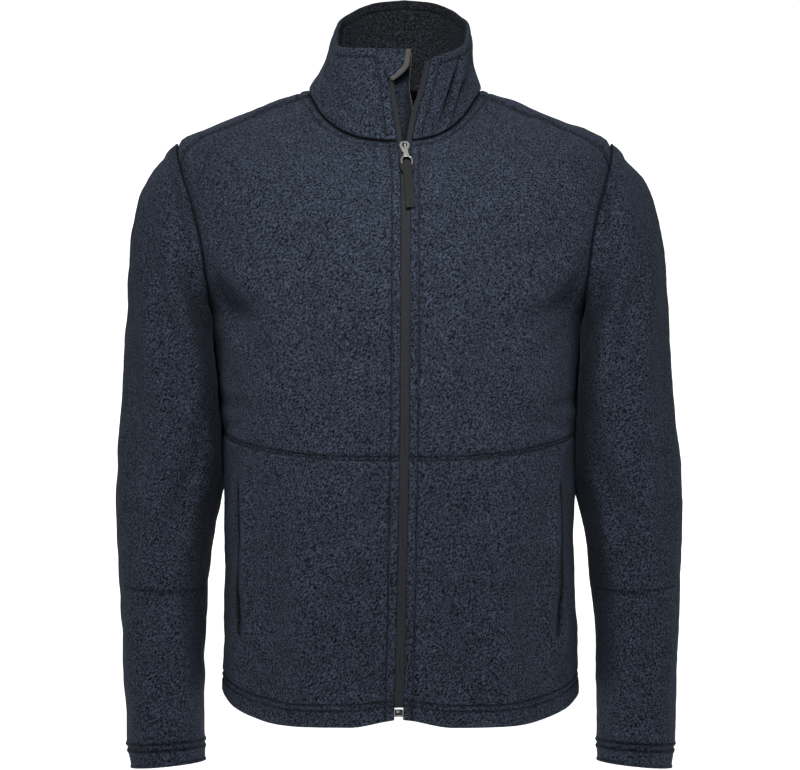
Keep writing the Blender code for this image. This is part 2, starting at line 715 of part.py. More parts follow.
def pull(jacket):
    """The metal link under the slider's bail, and the soft tab looped through its foot."""
    hinge = zip_place("pull_hinge", SLIDER_Z, PULL_HINGE_LIFT, jacket)
    half, foot = PULL_WIDTH / 2, PULL_FOOT_WIDTH / 2
    outline = [(-half, 0), (half, 0), (half * 0.95, -0.0055), (foot * 0.88, -0.0078), (foot, -0.0102)]
    outline += [(foot * 0.86, -PULL_LENGTH), (-foot * 0.86, -PULL_LENGTH), (-foot, -0.0102)]
    outline += [(-foot * 0.88, -0.0078), (-half * 0.95, -0.0055)]
    turn = Matrix.Rotation(-TAB_LEAN, 4, "Y")
    link = wire(
        "zip_pull_link",
        jacket,
        "zip_metal",
        [turn @ Vector((x, 0, z)) for x, z in outline],
        PULL_WIRE,
        closed=True,
    )
    on(hinge, link)
    hole, eye = PULL_WIRE + 0.0005, PULL_WIRE + 0.0005 + TAB_WALL
    data = bpy.data.curves.new("tab_profile", "CURVE")
    data.dimensions = "2D"
    data.fill_mode = "BOTH"
    data.extrude = TAB_WIDTH / 2
    strip = 0.0010
    reach = math.degrees(math.asin(strip / eye))
    around = [math.radians(a) for a in spread(-90 + reach, 270 - reach, 14)]
    outer = [(-strip, -TAB_LENGTH), (strip, -TAB_LENGTH)]
    outer += [(eye * math.cos(a), eye * math.sin(a)) for a in around]
    inner = [(hole * math.cos(a), hole * math.sin(a)) for a in [math.tau * i / 12 for i in range(12)]]
    for points in (outer, inner):
        spline = data.splines.new("POLY")
        spline.points.add(len(points) - 1)
        for place, (x, y) in zip(spline.points, points):
            place.co = (x, y, 0, 1)
        spline.use_cyclic_u = True
    profile = bpy.data.objects.new("tab_profile", data)
    tab = mesh_of_curve(profile, "zip_pull_tab", jacket, "pull_tab")
    upright = Matrix(((0, 0, 1, 0), (1, 0, 0, 0), (0, 1, 0, 0), (0, 0, 0, 1)))
    tab.data.transform(turn @ Matrix.Translation((0, 0, -PULL_LENGTH)) @ upright)
    on(hinge, tab)
    return hinge


def zip_box(jacket):
    place = zip_place("box_place", BOX_Z, -(FLEECE / 2 + LAYER_GAP + TAPE / 2), jacket)
    on(place, block("zip_box", jacket, "zip_metal", BOX_SIZE, (0, 0, 0), 0.0006))


def pocket(side, word, jacket):
    """A closed zip behind the slit, with its slider at the top."""
    depth = FLEECE / 2 + 2 * LAYER_GAP + TAPE / 2 + 0.0001
    half = math.degrees(POCKET_TAPE / 0.187)
    rows = []
    for ring in spread(SLIT_RINGS[0] - 0.12, SLIT_RINGS[1] + 0.12, 8):
        angles = [side * (SLIT_ANGLE + share * half) for share in (-1, 0, 1)]
        rows.append([off(torso_point, angle, ring, -depth) for angle in angles])
    wall("pocket_zip_" + word, jacket, "zip_tape", [rows], TAPE)
    ring, angle = SLIT_RINGS[0] + 0.09, side * SLIT_ANGLE
    normal = normal_of(torso_point, angle, ring)
    size = (SLIT_WIDTH - 0.0010, 0.0020, 0.0075)
    grip = block("pocket_slider_" + word, jacket, "zip_metal", size, (0, 0, 0), 0.0004)
    grip.location = off(torso_point, angle, ring, 0.0002)
    grip.rotation_euler = (0, 0, math.atan2(normal.x, -normal.y))


def main():
    clear_scene()
    jacket = new_collection("fleece_zip_jacket")
    helpers = new_collection("helpers")
    for side, word in ((1, "left"), (-1, "right")):
        front_upper(side, "front_upper_" + word, jacket)
        front_lower(side, "front_lower_" + word, jacket)
        sleeve(side, "sleeve_" + word, jacket)
        tape(side, "zip_tape_" + word, jacket)
        pocket(side, word, jacket)
    back(jacket)
    half = (FLEECE + LAYER_GAP) / 2
    collar_layer("collar_outer", jacket, "fleece", half, 0.012, 1.0)
    collar_layer("collar_inner", jacket, "fleece_inside", -half, 0.012, 1.0)
    storm_flap(jacket)
    chin_guard(jacket)
    slider(jacket, helpers)
    pull(jacket)
    zip_box(jacket)


main()
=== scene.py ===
"""Looks of a fleece zip jacket: fine cloth shells on the forms of its solids, with their creases,
stitching, zip and trim. Metres, +Z up, the front faces -Y and the wearer's left is +X."""

import math

import bmesh
import bpy
import numpy as np
from mathutils import Matrix, Vector, kdtree


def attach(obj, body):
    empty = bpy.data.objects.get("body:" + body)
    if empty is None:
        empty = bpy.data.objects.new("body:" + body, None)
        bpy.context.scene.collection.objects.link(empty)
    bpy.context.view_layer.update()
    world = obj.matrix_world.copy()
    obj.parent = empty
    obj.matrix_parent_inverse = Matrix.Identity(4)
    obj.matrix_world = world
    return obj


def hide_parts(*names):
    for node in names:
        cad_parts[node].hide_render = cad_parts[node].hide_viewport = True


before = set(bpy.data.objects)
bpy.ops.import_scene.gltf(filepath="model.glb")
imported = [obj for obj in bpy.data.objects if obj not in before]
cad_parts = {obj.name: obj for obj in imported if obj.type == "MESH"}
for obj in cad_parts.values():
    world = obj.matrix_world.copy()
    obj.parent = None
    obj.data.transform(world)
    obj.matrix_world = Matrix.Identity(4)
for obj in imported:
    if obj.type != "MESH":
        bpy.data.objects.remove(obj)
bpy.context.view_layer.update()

# Dimensions shared with the solids
FLEECE = 0.0025
TAPE = 0.0010
SEAM_GAP = 0.0008
LAYER_GAP = 0.0005
FRONT_OPENING, NECK_OPENING = 0.0054, 0.0083
TAPE_WIDTH = 0.0130
SLIT_WIDTH, SLIT_ANGLE, SLIT_RINGS = 0.0032, 66.0, (8.55, 10.75)
POCKET_TAPE = 0.0070
NECK_START = 0.048
ARMHOLE_TOP, UNDERARM, CHEST_RING, HEM_RING = 3, 6, 8, 12
YOKE_END = 3.4
ARMHOLE_FRONT, ARMHOLE_BACK = 23.0, 24.0
HEM_RISE, HEM_RISE_WIDTH = 0.0085, 0.055
LEFT_RIM_DROP = 0.012
SLIDER_Z = -0.0670
STORM_FLAP_DEPTH, STORM_FLAP_REACH = 0.0062, 0.0125
GUARD_LOW, GUARD_LOW_ANGLE, GUARD_TOP_ANGLE = 0.63, -5.3, 8.2

# Sizes of the fine surface alone
RIM_ROUNDNESS = 0.9  # how far a cloth's rounded edge stands out, as a share of half its thickness
POCKET_REACH = 0.187  # from the torso's middle line to its cloth at a pocket
COLLAR_REACH = 0.083  # the same at the collar's front edges
CUFF_STEP = 0.0182  # metres of cloth to a sleeve section near the cuff
LAST_SECTION = 15
NECK_ROW = 0.235  # ring of the stitched line round the neck
COLLAR_THREAD_LIFT = 0.0022
TAPE_SHOWN = 0.0056  # width of zip tape that shows beside the collar's edge


class Table:
    """Smooth curves through the columns of a table, read at a place along its keys."""

    def __init__(self, columns, rows, keys=None):
        self.columns = columns
        self.rows = np.array(rows, float)
        self.keys = np.arange(len(rows), dtype=float) if keys is None else np.array(keys, float)

    def __call__(self, column, at):
        values, keys = self.rows[:, self.columns.index(column)], self.keys
        last = len(keys) - 1
        after = np.minimum(np.arange(last + 1) + 1, last)
        before = np.maximum(np.arange(last + 1) - 1, 0)
        slope = (values[after] - values[before]) / (keys[after] - keys[before])
        at = np.clip(np.asarray(at, float), keys[0], keys[last])
        i = np.clip(np.searchsorted(keys, at, side="right") - 1, 0, last - 1)
        width = keys[i + 1] - keys[i]
        s = (at - keys[i]) / width
        return (
            values[i] * (1 + 2 * s) * (1 - s) ** 2
            + slope[i] * width * s * (1 - s) ** 2
            + values[i + 1] * s * s * (3 - 2 * s)
            - slope[i + 1] * width * s * s * (1 - s)
        )


def first_keys(columns, rows):
    return Table(columns, rows, [row[0] for row in rows])


RINGS = Table(
    ("front_z", "side_z", "back_z", "half_width", "front", "back", "squareness", "turn"),
    (
        (-0.0610, 0.0000, 0.0120, 0.0915, 0.088, 0.070, 2.0, 1.15),
        (-0.0880, -0.0165, -0.0160, 0.1370, 0.103, 0.100, 2.1, 1.15),
        (-0.1160, -0.0365, -0.0500, 0.1860, 0.117, 0.122, 2.2, 1.15),
        (-0.1460, -0.0605, -0.0900, 0.2320, 0.128, 0.134, 2.3, 1.10),
        (-0.1760, -0.1180, -0.1350, 0.2420, 0.135, 0.140, 2.3, 1.05),
        (-0.2120, -0.1820, -0.1880, 0.2290, 0.139, 0.142, 2.4, 1.00),
        (-0.2500, -0.2380, -0.2400, 0.1995, 0.140, 0.140, 2.5, 1.00),
        (-0.3150, -0.3000, -0.3050, 0.1935, 0.140, 0.134, 2.5, 1.00),
        (-0.3940, -0.3680, -0.3750, 0.1880, 0.139, 0.126, 2.5, 1.00),
        (-0.4700, -0.4450, -0.4550, 0.1872, 0.137, 0.124, 2.5, 0.95),
        (-0.5450, -0.5250, -0.5400, 0.1872, 0.135, 0.128, 2.5, 0.90),
        (-0.6150, -0.5900, -0.6100, 0.1880, 0.133, 0.132, 2.5, 0.80),
        (-0.6765, -0.6475, -0.6700, 0.1900, 0.131, 0.134, 2.5, 0.75),
    ),
)
LEAN = first_keys(
    ("height", "x"),
    (
        (-0.730, 0.0015), (-0.550, 0.0000), (-0.360, -0.0018), (-0.130, -0.0043), (-0.060, -0.0062),
        (-0.011, -0.0068), (0.015, -0.0032), (0.055, 0.0018), (0.102, 0.0045),
    ),
)
ZIP_LINE = first_keys(
    ("height", "x"),
    (
        (-0.667, -0.0013), (-0.600, 0.0003), (-0.500, 0.0025), (-0.350, 0.0050), (-0.130, 0.0059),
        (-0.061, 0.0047),
    ),
)
SLEEVE = Table(
    ("outer_x", "outer_z", "inner_x", "inner_z", "centre_y", "half_depth", "squareness"),
    (
        (0.2475, -0.0750, 0.1990, -0.2440, -0.004, 0.0815, 2.1),
        (0.2655, -0.0965, 0.1975, -0.2490, -0.001, 0.0835, 2.1),
        (0.2795, -0.1290, 0.1955, -0.2560, 0.003, 0.0840, 2.1),
        (0.2870, -0.1700, 0.1920, -0.2680, 0.006, 0.0830, 2.1),
        (0.2905, -0.2150, 0.1860, -0.2880, 0.010, 0.0800, 2.1),
        (0.2940, -0.2750, 0.1810, -0.3180, 0.014, 0.0760, 2.1),
        (0.2980, -0.3350, 0.1800, -0.3580, 0.018, 0.0710, 2.1),
        (0.3030, -0.3950, 0.1815, -0.4050, 0.019, 0.0660, 2.1),
        (0.3055, -0.4500, 0.1965, -0.4520, 0.015, 0.0625, 2.1),
        (0.3030, -0.5000, 0.2040, -0.5000, 0.008, 0.0590, 2.1),
        (0.3000, -0.5600, 0.2095, -0.5600, -0.001, 0.0550, 2.1),
        (0.2965, -0.6220, 0.2120, -0.6220, -0.010, 0.0505, 2.1),
        (0.2940, -0.6800, 0.2118, -0.6760, -0.018, 0.0460, 2.1),
        (0.2920, -0.7080, 0.2112, -0.7030, -0.022, 0.0440, 2.1),
        (0.2908, -0.7275, 0.2092, -0.7195, -0.025, 0.0430, 2.1),
    ),
)
COLLAR = first_keys(
    ("rise", "half_width", "front", "back", "squareness"),
    (
        (0.00, 0.0915, 0.0880, 0.0700, 2.0),
        (0.17, 0.0860, 0.0855, 0.0685, 2.1),
        (0.30, 0.0818, 0.0840, 0.0670, 2.2),
        (0.44, 0.0780, 0.0825, 0.0660, 2.3),
        (0.58, 0.0758, 0.0815, 0.0655, 2.4),
        (0.72, 0.0745, 0.0805, 0.0655, 2.4),
        (1.00, 0.0705, 0.0790, 0.0660, 2.4),
    ),
)
RIM = first_keys(
    ("angle", "height"),
    (
        (0, 0.0365), (25, 0.0380), (50, 0.0405), (70, 0.0470), (90, 0.0640), (120, 0.0820), (150, 0.0985),
        (180, 0.1030),
    ),
)
COLLAR_EDGES = first_keys(
    ("rise", "right", "left"),
    ((0.00, 1.8, 12.4), (0.35, -1.0, 18.0), (0.65, -5.0, 23.4), (1.00, -14.7, 25.6)),
)
FLAP_EDGE = first_keys(
    ("rise", "x", "depth"),
    ((0.00, 0.0172, 0.0062), (0.40, 0.0160, 0.0180), (0.65, 0.0137, 0.0200), (1.00, 0.0110, 0.0090)),
)


def mix(a, b, share):
    return a + (b - a) * share


def ease(share):
    share = np.clip(share, 0, 1)
    return share * share * (3 - 2 * share)


def lean(height):
    return LEAN("x", height)


def wrapped(angle):
    """The same angle between -180 and 180."""
    return (angle + 180) % 360 - 180


def bell(x, centre, width):
    return np.exp(-(((x - centre) / width) ** 2))


# Surfaces: an angle is 0 at the front and 90 at the wearer's left, and each is the middle of its cloth.


def oval(angle, half_width, front, back, squareness):
    s, c = np.sin(np.radians(angle)), np.cos(np.radians(angle))
    depth = np.where(c > 0, front, back)
    reach = (np.abs(s / half_width) ** squareness + np.abs(c / depth) ** squareness) ** (-1 / squareness)
    return reach * s, -reach * c


def torso(angle, ring):
    angle, ring = np.broadcast_arrays(np.asarray(angle, float), np.asarray(ring, float))
    row = {c: RINGS(c, ring) for c in RINGS.columns}
    x, y = oval(angle, row["half_width"], row["front"], row["back"], row["squareness"])
    c = np.cos(np.radians(angle))
    end = np.where(c > 0, row["front_z"], row["back_z"])
    z = mix(row["side_z"], end, ease(np.abs(c) / row["turn"]) / ease(1 / row["turn"]))
    low = np.where(c > 0, np.maximum(ring - HEM_RING + 1, 0), 0)
    z = z + HEM_RISE * low * (1 - ease(np.abs(x) / HEM_RISE_WIDTH))
    return np.stack([x + lean(z), y, z], -1)


def collar(angle, rise):
    angle, rise = np.broadcast_arrays(np.asarray(angle, float), np.asarray(rise, float))
    row = {c: COLLAR(c, rise) for c in COLLAR.columns}
    x, y = oval(angle, row["half_width"], row["front"], row["back"], row["squareness"])
    turned = wrapped(angle)
    fallen = ease((turned - 9) / 9) * np.maximum(0, 1 - np.maximum(turned - 22, 0) / 40) ** 1.5
    rim = RIM("height", np.abs(turned)) - LEFT_RIM_DROP * fallen
    z = mix(torso(angle, 0)[..., 2], rim, rise)
    return np.stack([x + lean(z), y, z], -1)


def normals_of(surface, a, b, step=(0.5, 0.02)):
    across = surface(a + step[0], b) - surface(a - step[0], b)
    along = surface(a, b + step[1]) - surface(a, b - step[1])
    normal = np.cross(across, along)
    normal /= np.linalg.norm(normal, axis=-1, keepdims=True)
    out = surface(a, b) * (1, 1, 0)
    return normal * np.sign((normal * out).sum(-1, keepdims=True))


def off(surface, a, b, distance):
    a, b = np.broadcast_arrays(np.asarray(a, float), np.asarray(b, float))
    return surface(a, b) + normals_of(surface, a, b) * np.asarray(distance, float)[..., None]


def front_angle(x, ring):
    row = {c: RINGS(c, ring) for c in RINGS.columns}
    y = row["front"] * (1 - np.abs(x / row["half_width"]) ** row["squareness"]) ** (1 / row["squareness"])
    return np.degrees(np.arctan2(x, y))


def beside_zip(ring, distance):
    height = RINGS("front_z", ring)
    return front_angle(ZIP_LINE("x", height) - lean(height) + distance, ring)


def front_edge(ring):
    widening = np.maximum(0.0, 1 - np.asarray(ring, float) / 1.2)
    return mix(FRONT_OPENING, NECK_OPENING, widening**1.5)


def armhole_share(ring):
    return np.clip((ring - ARMHOLE_TOP) / (UNDERARM - ARMHOLE_TOP), 0, 1)


def armhole_width(share, full):
    return full * np.sqrt(4 * share * (1 - share)) * (0.72 + 0.35 * share)


def armhole_front(ring):
    return 90 - armhole_width(armhole_share(ring), ARMHOLE_FRONT)


def armhole_back(ring):
    return 90 + armhole_width(armhole_share(ring), ARMHOLE_BACK)


def shoulder_seam(ring):
    return mix(76.5, float(armhole_front(YOKE_END)), ring / YOKE_END)


def side_seam(ring):
    return 90 - 6 * (ring - UNDERARM) / (HEM_RING - UNDERARM)


def gap_angle(ring):
    width = np.where(ring > UNDERARM, SEAM_GAP, 1.5 * SEAM_GAP) * 0.7
    return np.degrees(width / 2 / RINGS("half_width", ring))


SIDE = Table(RINGS.columns, RINGS.rows, -RINGS.rows[:, 1])


def torso_side_x(y, z):
    depth = np.where(y < 0, SIDE("front", -z), SIDE("back", -z))
    inside = np.maximum(0.0, 1 - np.abs(y / depth) ** SIDE("squareness", -z))
    return SIDE("half_width", -z) * inside ** (1 / SIDE("squareness", -z))


def sleeve(turn, section):
    """The wearer's left sleeve before the lean. turn is 0 on the outer line and 90 at the front."""
    turn, section = np.broadcast_arrays(np.asarray(turn, float), np.asarray(section, float))
    s, c = np.sin(np.radians(turn)), np.cos(np.radians(turn))
    share = (1 - c) / 2
    shrink = 1 - 0.011
    reach = armhole_width(share, np.where(s > 0, ARMHOLE_FRONT, ARMHOLE_BACK))
    ring = mix(ARMHOLE_TOP, UNDERARM, 0.5 + (share - 0.5) * shrink)
    armhole = torso(90 - np.sign(s) * reach * shrink, ring)
    armhole[..., 0] += 0.0014 + 0.0007 * share - lean(armhole[..., 2])
    row = {column: SLEEVE(column, np.maximum(section - 1, 0)) for column in SLEEVE.columns}
    outer = np.stack([row["outer_x"], row["centre_y"], row["outer_z"]], -1)
    inner = np.stack([row["inner_x"], row["centre_y"], row["inner_z"]], -1)
    n = row["squareness"]
    size = (np.abs(s) ** n + np.abs(c) ** n) ** (-1 / n)
    point = (outer + inner) / 2 + (outer - inner) / 2 * (size * c)[..., None]
    point[..., 1] -= row["half_depth"] * size * s
    clear = torso_side_x(point[..., 1], point[..., 2]) + FLEECE + 0.0012
    under = ease((-0.238 - point[..., 2]) / 0.012)
    apart = clear - point[..., 0]
    pushed = point[..., 0] + (apart + np.sqrt(apart**2 + 0.004**2)) / 2
    point[..., 0] = np.where(point[..., 2] < -0.238, mix(point[..., 0], pushed, under), point[..., 0])
    slower = 1 + 1.6 * ease((share - 0.62) / 0.3)
    blend = np.clip(section / slower, 0, 1)
    joined = mix(armhole, point, blend[..., None])
    over = 0.0035 * ease((0.45 - share) / 0.4) * np.sin(np.pi * blend)
    joined[..., 0] += over * 0.6
    joined[..., 2] += over * 0.8
    return joined


def sleeve_on(side):
    def surface(turn, section):
        point = sleeve(turn, section)
        x = side * point[..., 0] + lean(point[..., 2])
        return np.stack([x, point[..., 1], point[..., 2]], -1)

    return surface


# Cloth


def steps(low, high, step, near=(), fine=0.0007, count=3):
    """Places from low to high, closer together round the ones in near."""
    places = list(np.linspace(low, high, max(2, int(round((high - low) / step)) + 1)))
    close = [c + fine * k for c in near for k in range(-count, count + 1)]
    close = [p for p in close if low < p < high]
    kept = [p for p in places if all(abs(p - q) > fine * 0.8 for q in close) or p in (places[0], places[-1])]
    return np.array(sorted(kept + close))


def along_row(surface, b, start, end, near_start, near_end, middle):
    """Angles along a row whose points lie at set distances from its two ends and evenly between them."""
    sweep = np.linspace(start, end, 240)
    points = surface(sweep, np.full(240, float(b)))
    run = np.concatenate([[0], np.cumsum(np.linalg.norm(np.diff(points, axis=0), axis=1))])
    width = run[-1]
    scale = min(1.0, 0.45 * width / max(near_start[-1], near_end[-1]))
    first, last = near_start * scale, width - near_end[::-1] * scale
    between = np.linspace(first[-1], last[0], middle + 2)[1:-1]
    return np.interp(np.concatenate([first, between, last]), run, sweep)


def grid_quads(rows, cols, closed=False, start=0):
    i = np.arange(rows - 1)[:, None]
    j = np.arange(cols if closed else cols - 1)[None, :]
    k = (j + 1) % cols
    quads = np.stack([i * cols + j, (i + 1) * cols + j, (i + 1) * cols + k, i * cols + k], -1)
    return quads + start


def weld(points, quads):
    keys = np.round(points / 2e-6).astype(np.int64)
    _, first, inverse = np.unique(keys, axis=0, return_index=True, return_inverse=True)
    return first, inverse.reshape(-1)[quads]


def placed(name, data):
    obj = bpy.data.objects.new(name, data)
    bpy.context.scene.collection.objects.link(obj)
    return obj


def mesh_object(name, points, faces):
    data = bpy.data.meshes.new(name)
    data.from_pydata(points.tolist(), [], [list(map(int, f)) for f in faces])
    data.shade_smooth()
    data.validate()
    return placed(name, data)


def shell(name, points, quads, thickness, seam_shade=None):
    """Cloth: a surface thickened to both sides, with round edges. Its last argument is painted shade along
    pressed-in stitching and sewn edges, kept as a point attribute.
    """
    flat = points.reshape(-1, 3)
    seam_shade = np.zeros(len(flat)) if seam_shade is None else np.asarray(seam_shade).reshape(-1)
    first, quads = weld(flat, quads.reshape(-1, 4))
    flat, seam_shade = flat[first], seam_shade[first]
    normal = np.zeros_like(flat)
    corner = flat[quads]
    face = np.cross(corner[:, 2] - corner[:, 0], corner[:, 3] - corner[:, 1])
    for k in range(4):
        np.add.at(normal, quads[:, k], face)
    normal /= np.maximum(np.linalg.norm(normal, axis=1, keepdims=True), 1e-12)
    count = len(flat)
    a = quads.reshape(-1)
    b = np.roll(quads, -1, axis=1).reshape(-1)
    owner = np.repeat(np.arange(len(quads)), 4)
    edge = ~np.isin(a * count + b, b * count + a)
    a, b, owner = a[edge], b[edge], owner[edge]
    run = flat[b] - flat[a]
    away = np.cross(run, face[owner])
    away /= np.maximum(np.linalg.norm(away, axis=1, keepdims=True), 1e-12)
    outward = np.zeros_like(flat)
    np.add.at(outward, a, away)
    np.add.at(outward, b, away)
    border = np.unique(np.concatenate([a, b]))
    outward[border] /= np.maximum(np.linalg.norm(outward[border], axis=1, keepdims=True), 1e-12)
    half = thickness / 2
    place = np.full(count, -1)
    place[border] = 2 * count + np.arange(len(border))
    everything = np.concatenate(
        [flat + normal * half, flat - normal * half, flat[border] + outward[border] * half * RIM_ROUNDNESS]
    )
    outer_rim = np.stack([b, a, place[a], place[b]], 1)
    inner_rim = np.stack([place[b], place[a], a + count, b + count], 1)
    faces = np.concatenate([quads, quads[:, ::-1] + count, outer_rim, inner_rim])
    obj = mesh_object(name, everything, faces)
    # The painted shade along stitching and sewn edges goes into a point attribute for the fleece's colour.
    mark = obj.data.attributes.new("seam_shade", "FLOAT", "POINT")
    mark.data.foreach_set("value", np.concatenate([seam_shade, seam_shade, seam_shade[border]]).astype(np.float32))
    return obj


def tube(name, points, radii, sides=10):
    """A round bar along points, with closed ends."""
    points = np.asarray(points, float)
    radii = np.broadcast_to(radii, (len(points),))
    ahead = np.gradient(points, axis=0)
    ahead /= np.linalg.norm(ahead, axis=1, keepdims=True)
    side = np.cross(ahead, (0.0, -1.0, 0.0))
    side /= np.maximum(np.linalg.norm(side, axis=1, keepdims=True), 1e-9)
    up = np.cross(side, ahead)
    turns = np.linspace(0, math.tau, sides, endpoint=False)
    ringed = points[:, None] + radii[:, None, None] * (
        side[:, None] * np.cos(turns)[None, :, None] + up[:, None] * np.sin(turns)[None, :, None]
    )
    faces = grid_quads(len(points), sides, closed=True).reshape(-1, 4).tolist()
    faces.append(list(range(sides)))
    faces.append([(len(points) - 1) * sides + k for k in reversed(range(sides))])
    return mesh_object(name, ringed.reshape(-1, 3), faces)


class Line:
    """A line on the cloth, such as a row of stitches, that answers how far points are from it."""

    def __init__(self, points, step=0.0008):
        points = np.asarray(points, float)
        run = np.concatenate([[0], np.cumsum(np.linalg.norm(np.diff(points, axis=0), axis=1))])
        self.length = run[-1]
        places = np.linspace(0, run[-1], max(2, int(run[-1] / step)))
        self.points = np.stack([np.interp(places, run, points[:, k]) for k in range(3)], 1)
        self.tree = kdtree.KDTree(len(self.points))
        for i, p in enumerate(self.points):
            self.tree.insert(p, i)
        self.tree.balance()

    def distance(self, points):
        flat = points.reshape(-1, 3)
        low, high = self.points.min(0) - 0.02, self.points.max(0) + 0.02
        near = ((flat > low) & (flat < high)).all(1)
        found = np.full(len(flat), 1.0)
        for i in np.nonzero(near)[0]:
            found[i] = self.tree.find(flat[i])[2]
        return found.reshape(points.shape[:-1])


def trough(distance, depth, width):
    return -depth * np.exp(-((distance / width) ** 2))


def rolled(distance, depth=0.0014, width=0.0016):
    """A sewn edge turns in towards its seam."""
    return -depth * np.exp(-distance / width)


# Creases: (x, z) of one end and of the other, width, height (negative is a trough) and bow


FRONT_CREASES = (
    # under the wearer's right arm and left arm, pulled from the armhole towards the side
    (-0.214, -0.190, -0.150, -0.262, 0.011, -0.0030, 0.004),
    (-0.200, -0.180, -0.120, -0.240, 0.013, 0.0020, 0.004),
    (-0.186, -0.245, -0.140, -0.290, 0.009, -0.0020, 0.000),
    (0.206, -0.190, 0.146, -0.258, 0.011, -0.0028, -0.004),
    (0.190, -0.182, 0.118, -0.236, 0.013, 0.0020, -0.004),
    (0.180, -0.250, 0.136, -0.296, 0.009, -0.0018, 0.000),
    # long soft pulls down the chest
    (-0.098, -0.205, -0.092, -0.350, 0.018, -0.0022, 0.004),
    (-0.062, -0.180, -0.056, -0.350, 0.020, 0.0016, 0.000),
    (-0.018, -0.250, -0.020, -0.385, 0.012, -0.0016, 0.000),
    (0.104, -0.205, 0.096, -0.350, 0.018, -0.0022, -0.004),
    (0.064, -0.180, 0.060, -0.350, 0.020, 0.0016, 0.000),
    (0.036, -0.250, 0.034, -0.385, 0.012, -0.0014, 0.000),
    # small pulls above the chest seam by the sides
    (-0.190, -0.336, -0.140, -0.348, 0.008, -0.0016, 0.002),
    (-0.186, -0.362, -0.130, -0.356, 0.007, -0.0014, 0.000),
    (0.184, -0.336, 0.138, -0.346, 0.008, -0.0016, -0.002),
    (0.182, -0.360, 0.128, -0.358, 0.007, -0.0013, 0.000),
    # the lower fronts fan out from the zip
    (-0.006, -0.408, -0.056, -0.500, 0.012, -0.0026, 0.005),
    (-0.012, -0.455, -0.075, -0.560, 0.013, 0.0022, 0.006),
    (-0.016, -0.505, -0.086, -0.620, 0.014, -0.0026, 0.006),
    (-0.020, -0.580, -0.060, -0.655, 0.011, 0.0018, 0.002),
    (0.030, -0.415, 0.056, -0.500, 0.012, -0.0024, -0.004),
    (0.024, -0.450, 0.076, -0.556, 0.013, 0.0020, -0.005),
    (0.022, -0.500, 0.090, -0.620, 0.014, -0.0026, -0.006),
    (0.020, -0.575, 0.062, -0.655, 0.011, 0.0018, -0.002),
    # the hips
    (-0.135, -0.520, -0.140, -0.655, 0.018, -0.0030, 0.004),
    (-0.105, -0.480, -0.100, -0.650, 0.018, 0.0022, 0.000),
    (0.140, -0.520, 0.146, -0.655, 0.018, -0.0030, -0.004),
    (0.108, -0.480, 0.104, -0.650, 0.018, 0.0022, 0.000),
    # beside the pockets
    (-0.166, -0.384, -0.170, -0.560, 0.006, 0.0022, -0.004),
    (0.168, -0.384, 0.172, -0.560, 0.006, 0.0022, 0.004),
)
BACK_CREASES = (
    (-0.205, -0.200, -0.110, -0.270, 0.014, -0.0034, 0.006),
    (-0.190, -0.240, -0.120, -0.310, 0.012, 0.0024, 0.004),
    (0.198, -0.196, 0.112, -0.264, 0.014, -0.0032, -0.006),
    (0.184, -0.240, 0.118, -0.312, 0.012, 0.0024, -0.004),
    (-0.080, -0.070, -0.130, -0.140, 0.018, -0.0020, 0.004),
    (0.078, -0.072, 0.126, -0.142, 0.018, -0.0020, -0.004),
    (-0.060, -0.200, -0.070, -0.420, 0.022, -0.0030, 0.006),
    (0.052, -0.210, 0.066, -0.430, 0.022, -0.0028, -0.006),
    (-0.010, -0.260, -0.004, -0.460, 0.020, 0.0024, 0.003),
    (-0.150, -0.350, -0.060, -0.400, 0.012, -0.0026, 0.004),
    (0.150, -0.356, 0.056, -0.404, 0.012, -0.0026, -0.004),
    (-0.110, -0.470, -0.120, -0.640, 0.018, -0.0030, 0.003),
    (0.104, -0.470, 0.118, -0.640, 0.018, -0.0030, -0.003),
    (-0.035, -0.480, -0.045, -0.650, 0.020, 0.0024, 0.003),
    (0.045, -0.500, 0.040, -0.650, 0.018, -0.0022, 0.000),
)
# On the wearer's right sleeve: turn and section of each end
SLEEVE_CREASES = (
    (62, 2.2, 118, 6.4, 9, -0.0034, 6),
    (100, 1.6, 140, 4.4, 9, 0.0028, 4),
    (40, 4.6, 84, 7.8, 12, -0.0030, 5),
    (20, 5.0, 50, 7.6, 11, 0.0022, 4),
    (110, 6.2, 60, 9.0, 9, -0.0026, 6),
    (125, 7.2, 84, 9.6, 9, 0.0024, 4),
    (70, 10.4, 128, 11.6, 9, -0.0022, 5),
    (50, 11.6, 100, 12.6, 9, 0.0020, 4),
    (96, 12.4, 40, 13.4, 8, -0.0018, 4),
    (150, 3.0, 205, 5.0, 11, -0.0036, 6),
    (240, 2.4, 300, 5.6, 12, -0.0034, 6),
    (215, 5.2, 262, 8.6, 12, 0.0028, 6),
    (300, 5.8, 236, 8.8, 10, -0.0032, 6),
    (260, 8.2, 320, 9.6, 10, -0.0026, 5),
    (230, 10.2, 290, 11.8, 10, 0.0022, 5),
    (310, 11.4, 250, 12.9, 9, -0.0022, 4),
)


def creases(u, v, table, stretch=1.0):
    """Soft troughs and ridges, each along a bowed line in (u, v). stretch is v's size in u's unit."""
    total = np.zeros(np.shape(u))
    for u0, v0, u1, v1, width, height, bow in table:
        du, dv = u1 - u0, (v1 - v0) * stretch
        size = du * du + dv * dv
        t = ((u - u0) * du + (v - v0) * stretch * dv) / size
        across = ((u - u0) * dv - (v - v0) * stretch * du) / math.sqrt(size)
        inside = np.clip(t, 0, 1)
        across = across - bow * 4 * inside * (1 - inside)
        beyond = (t - inside) * math.sqrt(size)
        d = np.hypot(across, beyond) / width
        lean_in = 0.35 * bell(across / width, 1.9, 1) + 0.25 * bell(across / width, -1.9, 1)
        along = np.sin(np.pi * (0.12 + 0.76 * inside))
        total += height * along * (np.exp(-d * d) - lean_in * np.exp(-((beyond / width) ** 2)))
    return total


